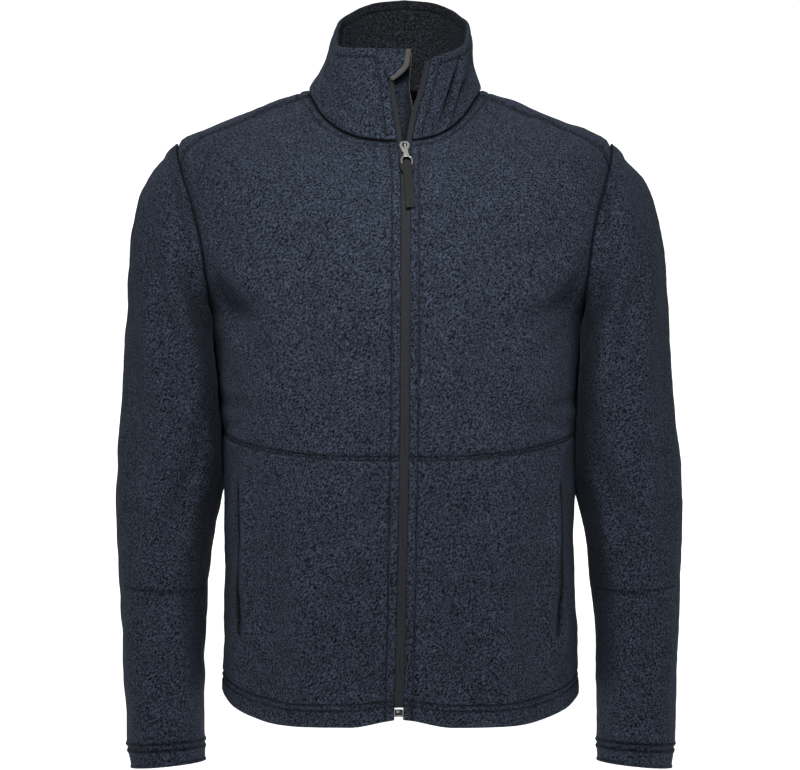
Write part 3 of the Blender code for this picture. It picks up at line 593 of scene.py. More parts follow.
def unevenness(x, y, z, size, seed):
    """Low swells that keep a cloth from looking turned."""
    total = 0
    for k in range(5):
        a, b = math.sin(seed * 12.9 + k * 7.3), math.sin(seed * 4.1 + k * 3.7)
        c = math.cos(seed * 2.3 + k * 5.9)
        along = (x * a * 1.3 + y * b * 1.3 + z * c) * 6.28 / size * (0.7 + 0.22 * k)
        total = total + np.sin(along + k * 1.9 + seed)
    return total / 5


def body_folds(points, angle):
    x, y, z = points[..., 0], points[..., 1], points[..., 2]
    turned = np.abs(wrapped(angle))
    front = ease((104 - turned) / 22)
    folds = front * creases(x, z, FRONT_CREASES) + (1 - front) * creases(x, z, BACK_CREASES)
    swell = 0.0019 * unevenness(x, y, z, 0.085, 1.0) + 0.0007 * unevenness(x, y, z, 0.034, 2.0)
    return 1.8 * folds + swell


# Materials


def shader_of(name):
    made = bpy.data.materials.new(name)
    made.use_nodes = True
    return made, made.node_tree.nodes, made.node_tree.links, made.node_tree.nodes["Principled BSDF"]


def put(nodes, kind, **values):
    node = nodes.new(kind)
    for key, value in values.items():
        if hasattr(node, key):
            setattr(node, key, value)
        else:
            node.inputs[key].default_value = value
    return node


def mapped(nodes, links, turn=(0, 0, 0), scale=(1, 1, 1)):
    """Object coordinates, turned and then scaled."""
    where = put(nodes, "ShaderNodeTexCoord")
    rotate = put(nodes, "ShaderNodeMapping", Rotation=turn)
    size = put(nodes, "ShaderNodeMapping", Scale=scale)
    links.new(where.outputs["Object"], rotate.inputs["Vector"])
    links.new(rotate.outputs["Vector"], size.inputs["Vector"])
    return size.outputs["Vector"]


def noise(nodes, links, vector, scale, detail=2.0, roughness=0.5):
    node = put(nodes, "ShaderNodeTexNoise", Scale=scale, Detail=detail, Roughness=roughness)
    links.new(vector, node.inputs["Vector"])
    return node.outputs["Fac"]


def ramp(nodes, links, factor, *stops):
    node = put(nodes, "ShaderNodeValToRGB")
    elements = node.color_ramp.elements
    while len(elements) < len(stops):
        elements.new(0.5)
    for element, (place, colour) in zip(elements, stops):
        element.position = place
        element.color = (*colour, 1)
    links.new(factor, node.inputs["Fac"])
    return node.outputs["Color"]


def times(nodes, links, a, b):
    node = put(nodes, "ShaderNodeMix", data_type="RGBA", blend_type="MULTIPLY")
    node.inputs["Factor"].default_value = 1.0
    links.new(a, node.inputs[6])
    if isinstance(b, tuple):
        node.inputs[7].default_value = (*b, 1)
    else:
        links.new(b, node.inputs[7])
    return node.outputs[2]


def grey(value):
    return (value, value, value)


def fleece_material(name, colour, contrast=1.0, sheen=0.07):
    """Knitted fleece: a nap in fine diagonal grains, with painted shade in seams and painted shade where
    cloth is near cloth.
    """
    made, nodes, links, shader = shader_of(name)
    lying = mapped(nodes, links, (0, math.radians(45), 0), (0.42, 1, 1))
    plain = mapped(nodes, links)
    grain = noise(nodes, links, lying, 860, 1.2, 0.5)
    fibre = noise(nodes, links, plain, 1900, 2.0, 0.6)
    patch = noise(nodes, links, plain, 34, 3.0, 0.55)
    low, high = 1 - 0.90 * contrast, 1 + 1.30 * contrast
    nap = ramp(nodes, links, grain, (0.36, grey(low * 0.4)), (0.50, grey(0.37)), (0.64, grey(high * 0.4)))
    fine = ramp(nodes, links, fibre, (0.3, grey(0.40)), (0.7, grey(0.60)))
    wide = ramp(nodes, links, patch, (0.3, grey(0.455)), (0.7, grey(0.545)))
    mottled = times(nodes, links, times(nodes, links, nap, fine), wide)
    tinted = times(nodes, links, mottled, tuple(10 * c for c in colour))
    # Painted shade: this attribute darkens the colour along pressed stitching and sewn edges.
    pressed = put(nodes, "ShaderNodeAttribute", attribute_name="seam_shade")
    painted_seam_shade = ramp(nodes, links, pressed.outputs["Fac"], (0.20, grey(1.0)), (0.95, grey(0.30)))
    # Painted shade: ambient occlusion darkens the colour where cloth is near cloth, such as between sleeve
    # and torso and in creases.
    near = put(nodes, "ShaderNodeAmbientOcclusion", samples=6, Distance=0.07)
    nearby_painted_shade = ramp(nodes, links, near.outputs["AO"], (0.30, grey(0.10)), (0.85, grey(1.0)))
    shaded = times(nodes, links, tinted, nearby_painted_shade)
    links.new(times(nodes, links, shaded, painted_seam_shade), shader.inputs["Base Color"])
    bumps = put(nodes, "ShaderNodeBump", Strength=0.75, Distance=0.0016)
    links.new(grain, bumps.inputs["Height"])
    fuzz = put(nodes, "ShaderNodeBump", Strength=0.35, Distance=0.0005)
    links.new(fibre, fuzz.inputs["Height"])
    links.new(bumps.outputs["Normal"], fuzz.inputs["Normal"])
    links.new(fuzz.outputs["Normal"], shader.inputs["Normal"])
    shader.inputs["Roughness"].default_value = 0.95
    shader.inputs["Specular IOR Level"].default_value = 0.12
    shader.inputs["Sheen Weight"].default_value = sheen
    shader.inputs["Sheen Roughness"].default_value = 0.55
    shader.inputs["Sheen Tint"].default_value = (0.45, 0.55, 0.75, 1)
    return made


def woven_material(name, colour, pitch, contrast=0.25, roughness=0.6, bump=0.4, sheen=0.1):
    """A close weave: fine ribs both ways with a little unevenness."""
    made, nodes, links, shader = shader_of(name)
    plain = mapped(nodes, links)
    ribs = []
    for direction in ("X", "Z"):
        wave = put(nodes, "ShaderNodeTexWave", wave_type="BANDS", bands_direction=direction)
        wave.inputs["Scale"].default_value = 0.314 / pitch
        wave.inputs["Distortion"].default_value = 0.6
        wave.inputs["Detail Scale"].default_value = 3.0
        links.new(plain, wave.inputs["Vector"])
        ribs.append(wave.outputs["Fac"])
    weave = put(nodes, "ShaderNodeMath", operation="ADD")
    links.new(ribs[0], weave.inputs[0])
    links.new(ribs[1], weave.inputs[1])
    spots = noise(nodes, links, plain, 900, 2.0, 0.6)
    low, high = grey(0.5 - contrast / 2), grey(0.5 + contrast / 2)
    shade = ramp(nodes, links, weave.outputs[0], (0.0, low), (1.0, high))
    speckle = ramp(nodes, links, spots, (0.3, grey(0.38)), (0.7, grey(0.62)))
    tinted = times(nodes, links, times(nodes, links, shade, speckle), tuple(4 * c for c in colour))
    links.new(tinted, shader.inputs["Base Color"])
    height = put(nodes, "ShaderNodeBump", Strength=bump, Distance=0.0004)
    links.new(weave.outputs[0], height.inputs["Height"])
    links.new(height.outputs["Normal"], shader.inputs["Normal"])
    shader.inputs["Roughness"].default_value = roughness
    shader.inputs["Sheen Weight"].default_value = sheen
    return made


def metal_material(name, colour, roughness):
    made, nodes, links, shader = shader_of(name)
    plain = mapped(nodes, links)
    marks = noise(nodes, links, plain, 700, 3.0, 0.6)
    tone = ramp(nodes, links, marks, (0.3, tuple(c * 0.82 for c in colour)), (0.7, colour))
    links.new(tone, shader.inputs["Base Color"])
    height = put(nodes, "ShaderNodeBump", Strength=0.12, Distance=0.0002)
    links.new(marks, height.inputs["Height"])
    links.new(height.outputs["Normal"], shader.inputs["Normal"])
    shader.inputs["Metallic"].default_value = 0.75
    shader.inputs["Roughness"].default_value = roughness
    return made


FLEECE_COLOUR = (0.0225, 0.0285, 0.0425)
fleece = fleece_material("navy_fleece", FLEECE_COLOUR)
fleece_inside = fleece_material("fleece_back", (0.0165, 0.0180, 0.0225), 0.9, 0.04)
tape_cloth = woven_material("zip_tape_weave", (0.0085, 0.0105, 0.0145), 0.0016, 0.5, 0.8, 0.8, 0.01)
binding_cloth = woven_material("grey_binding", (0.060, 0.057, 0.053), 0.0012, 0.5, 0.8, 0.7, 0.03)
strap_cloth = woven_material("charcoal_strap", (0.0060, 0.0060, 0.0062), 0.0014, 0.6, 0.75, 0.8, 0.01)
nickel = metal_material("nickel", (0.46, 0.45, 0.43), 0.30)
# Near-black metal for the sheet behind the slider's eye: painted shadow.
slot_shadow_metal = metal_material("slot_shadow_nickel", (0.012, 0.012, 0.012), 0.6)
# The pocket zip's tape: its own dark tape colour, made darker still as painted shadow in the slit.
slit_shadow_cloth = woven_material("pocket_zip_shadow_weave", (0.0030, 0.0038, 0.0054), 0.0014, 0.4, 0.9, 0.5, 0.0)
thread = woven_material("navy_thread", (0.018, 0.023, 0.034), 0.0006, 0.3, 0.7, 0.5)
coil_plastic = woven_material("zip_coil", (0.020, 0.025, 0.036), 0.0010, 0.2, 0.35, 0.2, 0.0)


def piece(obj, body, slot, material, *nodes):
    obj.data.materials.append(material)
    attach(obj, body)
    if nodes:
        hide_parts(*nodes)
    return obj


# Stitching: each stitch is a short thread on the smooth surface, so a fold may stand over it.

THREADS = []


def stitch(line, pitch=0.0030, length=0.0021, radius=0.00026, lift=0.0):
    """Adds a row of stitches along a line, each raised from it by lift."""
    count = max(2, int(line.length / pitch))
    places = np.linspace(0.3 / count, 1 - 0.3 / count, count)
    last = len(line.points) - 1
    for p in places:
        middle = line.points[int(p * last)]
        ahead = line.points[min(last, int(p * last) + 2)] - line.points[max(0, int(p * last) - 2)]
        THREADS.append((middle, ahead / max(np.linalg.norm(ahead), 1e-9), length, radius, lift))


def thread_mesh(name):
    """Every stitch as a small six-sided spindle."""
    points, faces = [], []
    for middle, along, length, radius, lift in THREADS:
        out = np.array([middle[0], middle[1], 0.0])
        out -= along * out.dot(along)
        out /= max(np.linalg.norm(out), 1e-9)
        wide = np.cross(along, out)
        start = len(points)
        for share, size in ((-0.5, 0.25), (-0.25, 1.0), (0.25, 1.0), (0.5, 0.25)):
            centre = middle + along * length * share + out * (lift + radius * 1.2 * (size - 1))
            for k in range(6):
                turn = k * math.pi / 3
                points.append(centre + (wide * math.cos(turn) + out * math.sin(turn)) * radius * size)
        for r in range(3):
            for k in range(6):
                a, b = start + r * 6 + k, start + r * 6 + (k + 1) % 6
                faces.append((a, b, b + 6, a + 6))
        faces.append(tuple(start + k for k in reversed(range(6))))
        faces.append(tuple(start + 18 + k for k in range(6)))
    return mesh_object(name, np.array(points), faces)


# Seams and stitched lines on the body

HEM_STEP = 0.0600  # metres of cloth to a ring near the hem
HEM_ROWS = (0.0167, 0.0227)
TOPSTITCH = 0.0086


def torso_line(angles, rings, lift=0.0):
    return Line(off(torso, np.asarray(angles, float), np.asarray(rings, float), lift))


def collar_line(angles, rises):
    return Line(off(collar, np.asarray(angles, float), np.asarray(rises, float), 0.0))


HALF = FLEECE / 2
hem_lines = []
for row in HEM_ROWS:
    start = float(beside_zip(HEM_RING - row / HEM_STEP, FRONT_OPENING))
    end = 360 + float(beside_zip(HEM_RING - row / HEM_STEP, -FRONT_OPENING))
    hem_lines.append(torso_line(np.linspace(start, end, 600), np.full(600, HEM_RING - row / HEM_STEP)))
zip_rows = {}
for side in (1, -1):
    rings = np.linspace(0.30, HEM_RING - 0.02, 400)
    zip_rows[side] = torso_line(beside_zip(rings, side * (front_edge(rings) + TOPSTITCH)), rings)
chest_rows, yoke_rows, side_rows = {}, {}, {}
for side in (1, -1):
    start = float(beside_zip(CHEST_RING, side * FRONT_OPENING))
    sweep = np.linspace(start, side * side_seam(CHEST_RING), 300)
    chest_rows[side] = torso_line(sweep, np.full(300, CHEST_RING + 0.045))
    rings = np.linspace(NECK_START, YOKE_END, 200)
    width = np.degrees(0.0030 / RINGS("half_width", rings))
    seam_angle = np.array([shoulder_seam(r) for r in rings])
    yoke_rows[side] = [torso_line(side * (seam_angle + k * width), rings) for k in (-1, 1)]
    rings = np.linspace(UNDERARM, HEM_RING, 300)
    side_rows[side] = torso_line(side * (side_seam(rings) - np.degrees(0.0026 / 0.188)), rings)
neck_start, neck_end = float(beside_zip(0.24, 0.010)), 360 + float(beside_zip(0.24, -0.010))
neck_rows = torso_line(np.linspace(neck_start, neck_end, 700), np.full(700, NECK_ROW))
turns = np.radians(np.linspace(0, 360, 240))
fallen = (1 - np.cos(turns)) / 2
reach = armhole_width(fallen, np.where(np.sin(turns) > 0, ARMHOLE_FRONT, ARMHOLE_BACK))
armholes = {
    side: Line(torso(side * (90 - np.sign(np.sin(turns)) * reach), mix(ARMHOLE_TOP, UNDERARM, fallen)))
    for side in (1, -1)
}


def pressed(points, depth, width, *lines):
    """How far stitched lines press the cloth in, and a mark of where they do, which is painted as shade in
    the colour.
    """
    total, mark = np.zeros(points.shape[:-1]), np.zeros(points.shape[:-1])
    for line in lines:
        distance = line.distance(points)
        total += trough(distance, depth, width)
        mark = np.maximum(mark, np.exp(-((distance / (width * 0.95)) ** 2)))
    return total, mark


def edge_mark(distance):
    """Little light reaches the valley of a sewn edge."""
    return 0.9 * np.exp(-((distance / 0.0009) ** 2))


def torso_cloth(angle, ring):
    """The torso's surface with its folds and pressed seams, and the painted shade along its seams, for a grid
    of angles and rings.
    """
    base = torso(angle, ring)
    normal = normals_of(torso, angle, ring)
    x = base[..., 0]
    folds = body_folds(base, angle)
    for side in (1, -1):
        distance = armholes[side].distance(base)
        folds = folds * ease(distance / 0.035)
        folds = folds + rolled(distance, 0.0016, 0.0022) + 0.0010 * bell(distance, 0.009, 0.006)
    calm = np.minimum(ease((np.abs(x - 0.003) - 0.006) / 0.03) + 0.25, 1) * ease(ring / 0.5)
    folds = folds * calm
    pressing, mark = pressed(
        base, 0.0016, 0.0018, *hem_lines, *chest_rows.values(), neck_rows, *zip_rows.values(),
        *yoke_rows[1], *yoke_rows[-1], *side_rows.values()
    )
    hem = (HEM_RING - ring) * HEM_STEP
    turned_up = 0.0006 * ease((HEM_ROWS[1] - hem) / 0.003) - 0.0013 * np.exp(-hem / 0.0014)
    return base, normal, folds + pressing + turned_up, mark


TORSO_RINGS = np.unique(np.round(np.concatenate([
    steps(NECK_START, 3.0, 0.13, near=(NECK_ROW,), fine=0.026),
    3 + 3 * (1 - np.cos(np.linspace(0, math.pi, 56))) / 2,
    [YOKE_END],
    steps(6.0, 8.0, 0.055),
    steps(8.0, 12.0, 0.055, near=(8.045, *(HEM_RING - row / HEM_STEP for row in HEM_ROWS)), fine=0.011),
    [HEM_RING - 0.012, HEM_RING - 0.03],
]), 5))


def front_end(ring):
    if ring <= YOKE_END:
        return shoulder_seam(ring)
    return float(armhole_front(ring)) if ring <= UNDERARM else side_seam(ring)


# Distances of a piece's columns from its zip edge and from a plain seam
NEAR_ZIP = np.array([
    0, 0.0005, 0.0013, 0.0026, 0.0044, 0.0062, 0.0072, 0.0079, 0.0086, 0.0093, 0.0100, 0.0112, 0.0135, 0.0170
])
NEAR_SEAM = np.array([0, 0.0005, 0.0012, 0.0020, 0.0027, 0.0034, 0.0045, 0.0065, 0.0095])


def folded_edge(distance):
    """A front's folded edge beside the zip: two layers thick as far as its topstitching."""
    return 0.0007 * ease((TOPSTITCH - distance) / 0.002) - 0.0014 * np.exp(-distance / 0.0014)


def distances(points):
    run = np.linalg.norm(np.diff(points, axis=1), axis=2)
    return np.concatenate([np.zeros((len(points), 1)), np.cumsum(run, axis=1)], axis=1)


def front_panel(side, rings, middle, shift_low=0.0, shift_high=0.0):
    """Angles and rings of a front, its columns at set distances from the zip's edge and the far seam."""
    angles, places = [], []
    for i, ring in enumerate(rings):
        place = ring
        if i == 0:
            place = ring + shift_low
        if i == len(rings) - 1:
            place = ring - shift_high
        start = float(beside_zip(place, side * float(front_edge(place))))
        end = side * (front_end(ring) - float(gap_angle(ring)))
        angles.append(along_row(torso, place, start, end, NEAR_ZIP, NEAR_SEAM, middle))
        places.append(np.full(len(angles[-1]), place))
    return np.array(angles), np.array(places)


def cloth_piece(side, angle, ring, end_rolls):
    """Points, faces and painted seam shade of a front. end_rolls is the cloth in a ring at each sewn end, or
    0.
    """
    base, normal, lift, mark = torso_cloth(angle, ring)
    run = distances(base)
    lift = lift + folded_edge(run)
    lift = lift + rolled(run[:, -1:] - run, 0.0010, 0.0014)
    for k, end in enumerate(end_rolls):
        if end:
            distance = np.abs(ring - (ring[0, 0] if k == 0 else ring[-1, 0])) * end
            lift = lift + rolled(distance, 0.0011, 0.0014)
    mark = np.maximum(mark, edge_mark(np.minimum(run, run[:, -1:] - run)))
    for k, end in enumerate(end_rolls):
        if end:
            mark = np.maximum(mark, edge_mark(np.abs(ring - (ring[0, 0] if k == 0 else ring[-1, 0])) * end))
    points = base + normal * lift[..., None]
    quads = grid_quads(*angle.shape)
    if side < 0:
        quads = quads[..., ::-1]
    return points, quads, mark


RING_GAP = SEAM_GAP * 0.35 / 0.075
for side, word in ((1, "left"), (-1, "right")):
    rings = TORSO_RINGS[TORSO_RINGS <= 8.0]
    angle, ring = front_panel(side, rings, 42, shift_high=RING_GAP)
    points, quads, mark = cloth_piece(side, angle, ring, (0.028, 0.075))
    obj = shell("fine_front_upper_" + word, points, quads, FLEECE, mark)
    piece(obj, "jacket", "fleece", fleece, "front_upper_" + word)
    rings = TORSO_RINGS[TORSO_RINGS >= 8.0]
    half_slit = math.degrees(SLIT_WIDTH / 2 / POCKET_REACH)
    angles, places = [], []
    for i, value in enumerate(rings):
        place = value + RING_GAP if i == 0 else value
        wave = 0.22 * math.sin(value * 9.0) + 0.12 * math.sin(value * 21.0 + side)
        start = float(beside_zip(place, side * FRONT_OPENING))
        near, far = side * (SLIT_ANGLE - half_slit + wave), side * (SLIT_ANGLE + half_slit + wave)
        inner = along_row(torso, place, start, near, NEAR_ZIP, NEAR_SEAM[:7], 34)
        end = side * (side_seam(value) - float(gap_angle(value)))
        outer = along_row(torso, place, far, end, NEAR_SEAM[:7], NEAR_SEAM, 8)
        angles.append(np.concatenate([inner, outer]))
        places.append(np.full(len(angles[-1]), place))
    angle, ring = np.array(angles), np.array(places)
    slit = len(inner) - 1
    points, quads, mark = cloth_piece(side, angle, ring, (0.076, 0))
    beside = np.abs(np.abs(angle) - SLIT_ANGLE) * math.radians(1) * 0.16
    within = ease((ring - SLIT_RINGS[0]) / 0.06) * ease((SLIT_RINGS[1] - ring) / 0.06)
    ridge = np.where(np.abs(angle) < SLIT_ANGLE, 0.0026, 0.0012) * bell(beside, 0.011, 0.005)
    lips = (ridge - 0.0012 * np.exp(-beside / 0.0028)) * within
    points = points + normals_of(torso, angle, ring) * lips[..., None]
    # Painted shade along the lips of the pocket slit.
    mark = np.maximum(mark, bell(beside, 0.0012, 0.0030) * within)
    cut = (ring[:-1, 0] >= SLIT_RINGS[0]) & (ring[1:, 0] <= SLIT_RINGS[1])
    keep = np.ones(quads.shape[:2], bool)
    keep[cut, slit] = False
    obj = shell("fine_front_lower_" + word, points, quads[keep], FLEECE, mark)
    piece(obj, "jacket", "fleece", fleece, "front_lower_" + word)

# The back wraps over both shoulders to the seams on the front.
rings = TORSO_RINGS
shoulder_angles, middle_angles = [], []
shoulder_rings = rings[rings <= YOKE_END]
for value in rings:
    sewn = float(armhole_back(value)) if value <= 6 else side_seam(value) + float(gap_angle(value))
    edge = 90.0 if value <= 3 else sewn
    middle_angles.append(along_row(torso, value, edge, 360 - edge, NEAR_SEAM, NEAR_SEAM, 108))
for value in shoulder_rings:
    low = shoulder_seam(value) + float(gap_angle(value))
    high = 90.0 if value <= 3 else float(armhole_front(value))
    low = min(low, high - 0.2)
    shoulder_angles.append(along_row(torso, value, low, high, NEAR_SEAM[:7], NEAR_SEAM[:3], 8))
grids = [(np.array(middle_angles), np.repeat(rings[:, None], len(middle_angles[0]), 1))]
for side in (1, -1):
    strip = np.array(shoulder_angles)
    ring = np.repeat(shoulder_rings[:, None], strip.shape[1], 1)
    grids.append((strip if side > 0 else (360 - strip)[:, ::-1], ring if side > 0 else ring[:, ::-1]))
all_points, all_quads, all_marks, start = [], [], [], 0
for angle, ring in grids:
    base, normal, lift, mark = torso_cloth(angle, ring)
    edge_angle = np.where(ring <= YOKE_END, shoulder_seam(ring), np.where(ring > 6, side_seam(ring), -999))
    turned = np.abs(wrapped(angle))
    distance = np.abs(turned - edge_angle) * np.pi / 180 * RINGS("half_width", ring)
    lift = lift + rolled(distance, 0.0010, 0.0014) + rolled((ring - NECK_START) * 0.028, 0.0011, 0.0014)
    all_points.append((base + normal * lift[..., None]).reshape(-1, 3))
    all_marks.append(np.maximum(mark, edge_mark(distance)).reshape(-1))
    all_quads.append(grid_quads(*angle.shape, start=start).reshape(-1, 4))
    start += angle.size
joint_points, joint_quads, joint_marks = map(np.concatenate, (all_points, all_quads, all_marks))
obj = shell("fine_back", joint_points, joint_quads, FLEECE, joint_marks)
piece(obj, "jacket", "fleece", fleece, "back")

# Sleeves
CUFF_ROWS = (0.0165, 0.0225)
ELBOW_SECTION = 10.58


def cuff_section(distance):
    return LAST_SECTION - distance / CUFF_STEP


for side, word in ((1, "left"), (-1, "right")):
    surface = sleeve_on(side)
    sections = steps(
        0, 15, 0.09, near=(ELBOW_SECTION, cuff_section(CUFF_ROWS[0]), cuff_section(CUFF_ROWS[1])), fine=0.03
    )
    sections = np.unique(np.concatenate([[0.02, 0.05, 0.1, 0.16], sections, [14.93, 14.975]]))
    turns = np.linspace(0, 360, 112, endpoint=False)
    turn, section = np.meshgrid(turns, sections)
    base = surface(turn, section)
    across = surface(turn + 0.7, section) - surface(turn - 0.7, section)
    after, before = np.minimum(section + 0.03, LAST_SECTION), np.maximum(section - 0.03, 0)
    down = surface(turn, after) - surface(turn, before)
    normal = np.cross(down, across) * side
    normal /= np.linalg.norm(normal, axis=-1, keepdims=True)
    table = SLEEVE_CREASES
    if side > 0:
        table = [
            (u0 + 4, v0 + 0.25, u1 - 3, v1 + 0.2, w * 1.05, h * 0.92, b) for u0, v0, u1, v1, w, h, b in table
        ]
    folds = 1.7 * (creases(turn, section, table, 9.0) + creases(turn - 360, section, table, 9.0))
    folds += 0.0018 * unevenness(base[..., 0], base[..., 1], base[..., 2], 0.075, 3.0 + side)
    folds += 0.0006 * unevenness(base[..., 0], base[..., 1], base[..., 2], 0.030, 5.0 + side)
    from_top = distances(base.transpose(1, 0, 2)).T
    folds *= ease(section / 1.6) * (0.35 + 0.65 * ease((LAST_SECTION - section) / 1.4))
    puff = 0.0012 * bell(from_top, 0.010, 0.007) + rolled(from_top, 0.0024, 0.0034)
    elbow_angles = np.linspace(35, 158, 160)
    elbow = Line(surface(elbow_angles, ELBOW_SECTION + 0.08 * np.sin(np.radians(elbow_angles - 35) * 1.4)))
    cuffs = [Line(surface(np.linspace(0, 360, 300), np.full(300, cuff_section(d)))) for d in CUFF_ROWS]
    pressing, mark = pressed(base, 0.0014, 0.0017, elbow, *cuffs)
    mark = np.maximum(mark, edge_mark(from_top))
    edge = (LAST_SECTION - section) * CUFF_STEP
    turned_up = 0.0006 * ease((CUFF_ROWS[1] - edge) / 0.003) - 0.0013 * np.exp(-edge / 0.0014)
    flare = 0.0016 * ease((CUFF_ROWS[0] - edge) / 0.016)
    points = base + normal * (folds + puff + pressing + turned_up + flare)[..., None]
    quads = grid_quads(*turn.shape, closed=True)
    if side > 0:
        quads = quads[..., ::-1]
    obj = shell("fine_sleeve_" + word, points, quads, FLEECE, mark)
    piece(obj, "jacket", "fleece", fleece, "sleeve_" + word)

# Collar


def collar_edge(side, rise):
    return COLLAR_EDGES("left" if side > 0 else "right", rise)


COLLAR_CREASES = (
    # angle and rise of each end, on the wearer's right
    (-52, 0.95, -44, 0.42, 3.0, -0.0030, 2),
    (-44, 0.42, -24, 0.10, 2.6, -0.0022, 1),
    (-38, 0.40, -32, 0.20, 2.0, 0.0016, 0),
    (-70, 0.90, -64, 0.20, 5.0, 0.0022, 0),
    (-20, 0.80, -16, 0.20, 5.0, 0.0012, 0),
    # on the wearer's left
    (60, 0.88, 38, 0.08, 2.6, 0.0034, -2),
    (52, 0.84, 32, 0.06, 3.0, -0.0036, -2),
    (78, 0.80, 66, 0.20, 5.0, -0.0020, 0),
    # round the back
    (120, 0.95, 128, 0.20, 7.0, -0.0020, 2),
    (172, 0.90, 168, 0.15, 8.0, -0.0016, 0),
    (-128, 0.95, -120, 0.20, 7.0, -0.0020, 2),
    (-158, 0.9, -150, 0.2, 7.0, 0.0016, 2),
)
RIM_STITCH = 0.0090


def rim_share(angle, distance):
    """The rise that lies this far below the rim."""
    turned = wrapped(np.asarray(angle, float))
    height = RIM("height", np.abs(turned)) - torso(angle, 0)[..., 2]
    return 1 - distance / height


def collar_folds(angle, rise):
    turned = wrapped(angle)
    folds = creases(turned, rise, COLLAR_CREASES, 70.0)
    base = collar(angle, rise)
    return 1.3 * folds + 0.0011 * unevenness(base[..., 0], base[..., 1], base[..., 2], 0.05, 7.0)


collar_lines = []
sweep = np.linspace(float(collar_edge(1, 0.9)) + 6, float(collar_edge(-1, 0.9)) + 354, 500)
collar_lines.append(collar_line(sweep, rim_share(sweep, RIM_STITCH)))
for side in (1, -1):
    rises = np.linspace(0.06, 0.90, 120)
    edge_angle = collar_edge(side, rises) + side * np.degrees(0.0095 / COLLAR_REACH)
    collar_lines.append(collar_line(edge_angle, rises))


def collar_piece(name, distance, high, low, material, slot, node, rolls):
    near_rim = high - np.array([0.004, 0.010, 0.018, 0.028])
    rises = np.unique(np.concatenate([np.linspace(low, high, 44), near_rim]))[::-1]
    angles = []
    for rise in rises:
        start, end = float(collar_edge(1, rise)), float(collar_edge(-1, rise)) + 360
        angles.append(along_row(collar, rise, start, end, NEAR_ZIP, NEAR_ZIP, 150))
    angle = np.array(angles)
    rise = np.repeat(rises[:, None], angle.shape[1], 1)
    base = collar(angle, rise)
    normal = normals_of(collar, angle, rise)
    run = distances(base)
    below = (1 - rise) * (RIM("height", np.abs(wrapped(angle))) - torso(angle, 0)[..., 2])
    pressing, mark = pressed(base, 0.0013, 0.0016, *collar_lines)
    mark = np.maximum(mark, edge_mark((rise - low) * 0.10))
    mark = np.maximum(mark, edge_mark(np.minimum(run, run[:, -1:] - run)))
    lift = distance + collar_folds(angle, rise) + pressing * (1 if distance > 0 else -0.6)
    outward = 1 if distance > 0 else -1
    for gone in (below - (1 - high) * 0.09, run, run[:, -1:] - run):
        lift = lift - outward * rolls * np.exp(-np.maximum(gone, 0) / 0.0016)
    lift = lift + rolled((rise - low) * 0.10, 0.0010, 0.0014) * outward
    points = base + normal * lift[..., None]
    if distance < 0:
        tucked = [
            mix(points[-1], off(torso, angle[-1], np.full(angle.shape[1], down), -0.0052), share)
            for down, share in ((0.02, 0.5), (0.05, 0.9), (0.09, 1.0), (0.14, 1.0))
        ]
        points = np.concatenate([points, np.array(tucked)])
        mark = np.concatenate([mark, np.repeat(mark[-1:] * 0, 4, 0)])
    obj = shell(name, points, grid_quads(*points.shape[:2]), FLEECE, mark)
    return piece(obj, "jacket", slot, material, node)


half = (FLEECE + LAYER_GAP) / 2
collar_piece("fine_collar_outer", half, 1.0, 0.012, fleece, "fleece", "collar_outer", 0.0012)
collar_piece("fine_collar_inner", -half, 0.992, 0.012, fleece_inside, "fleece_inside", "collar_inner", 0.0003)

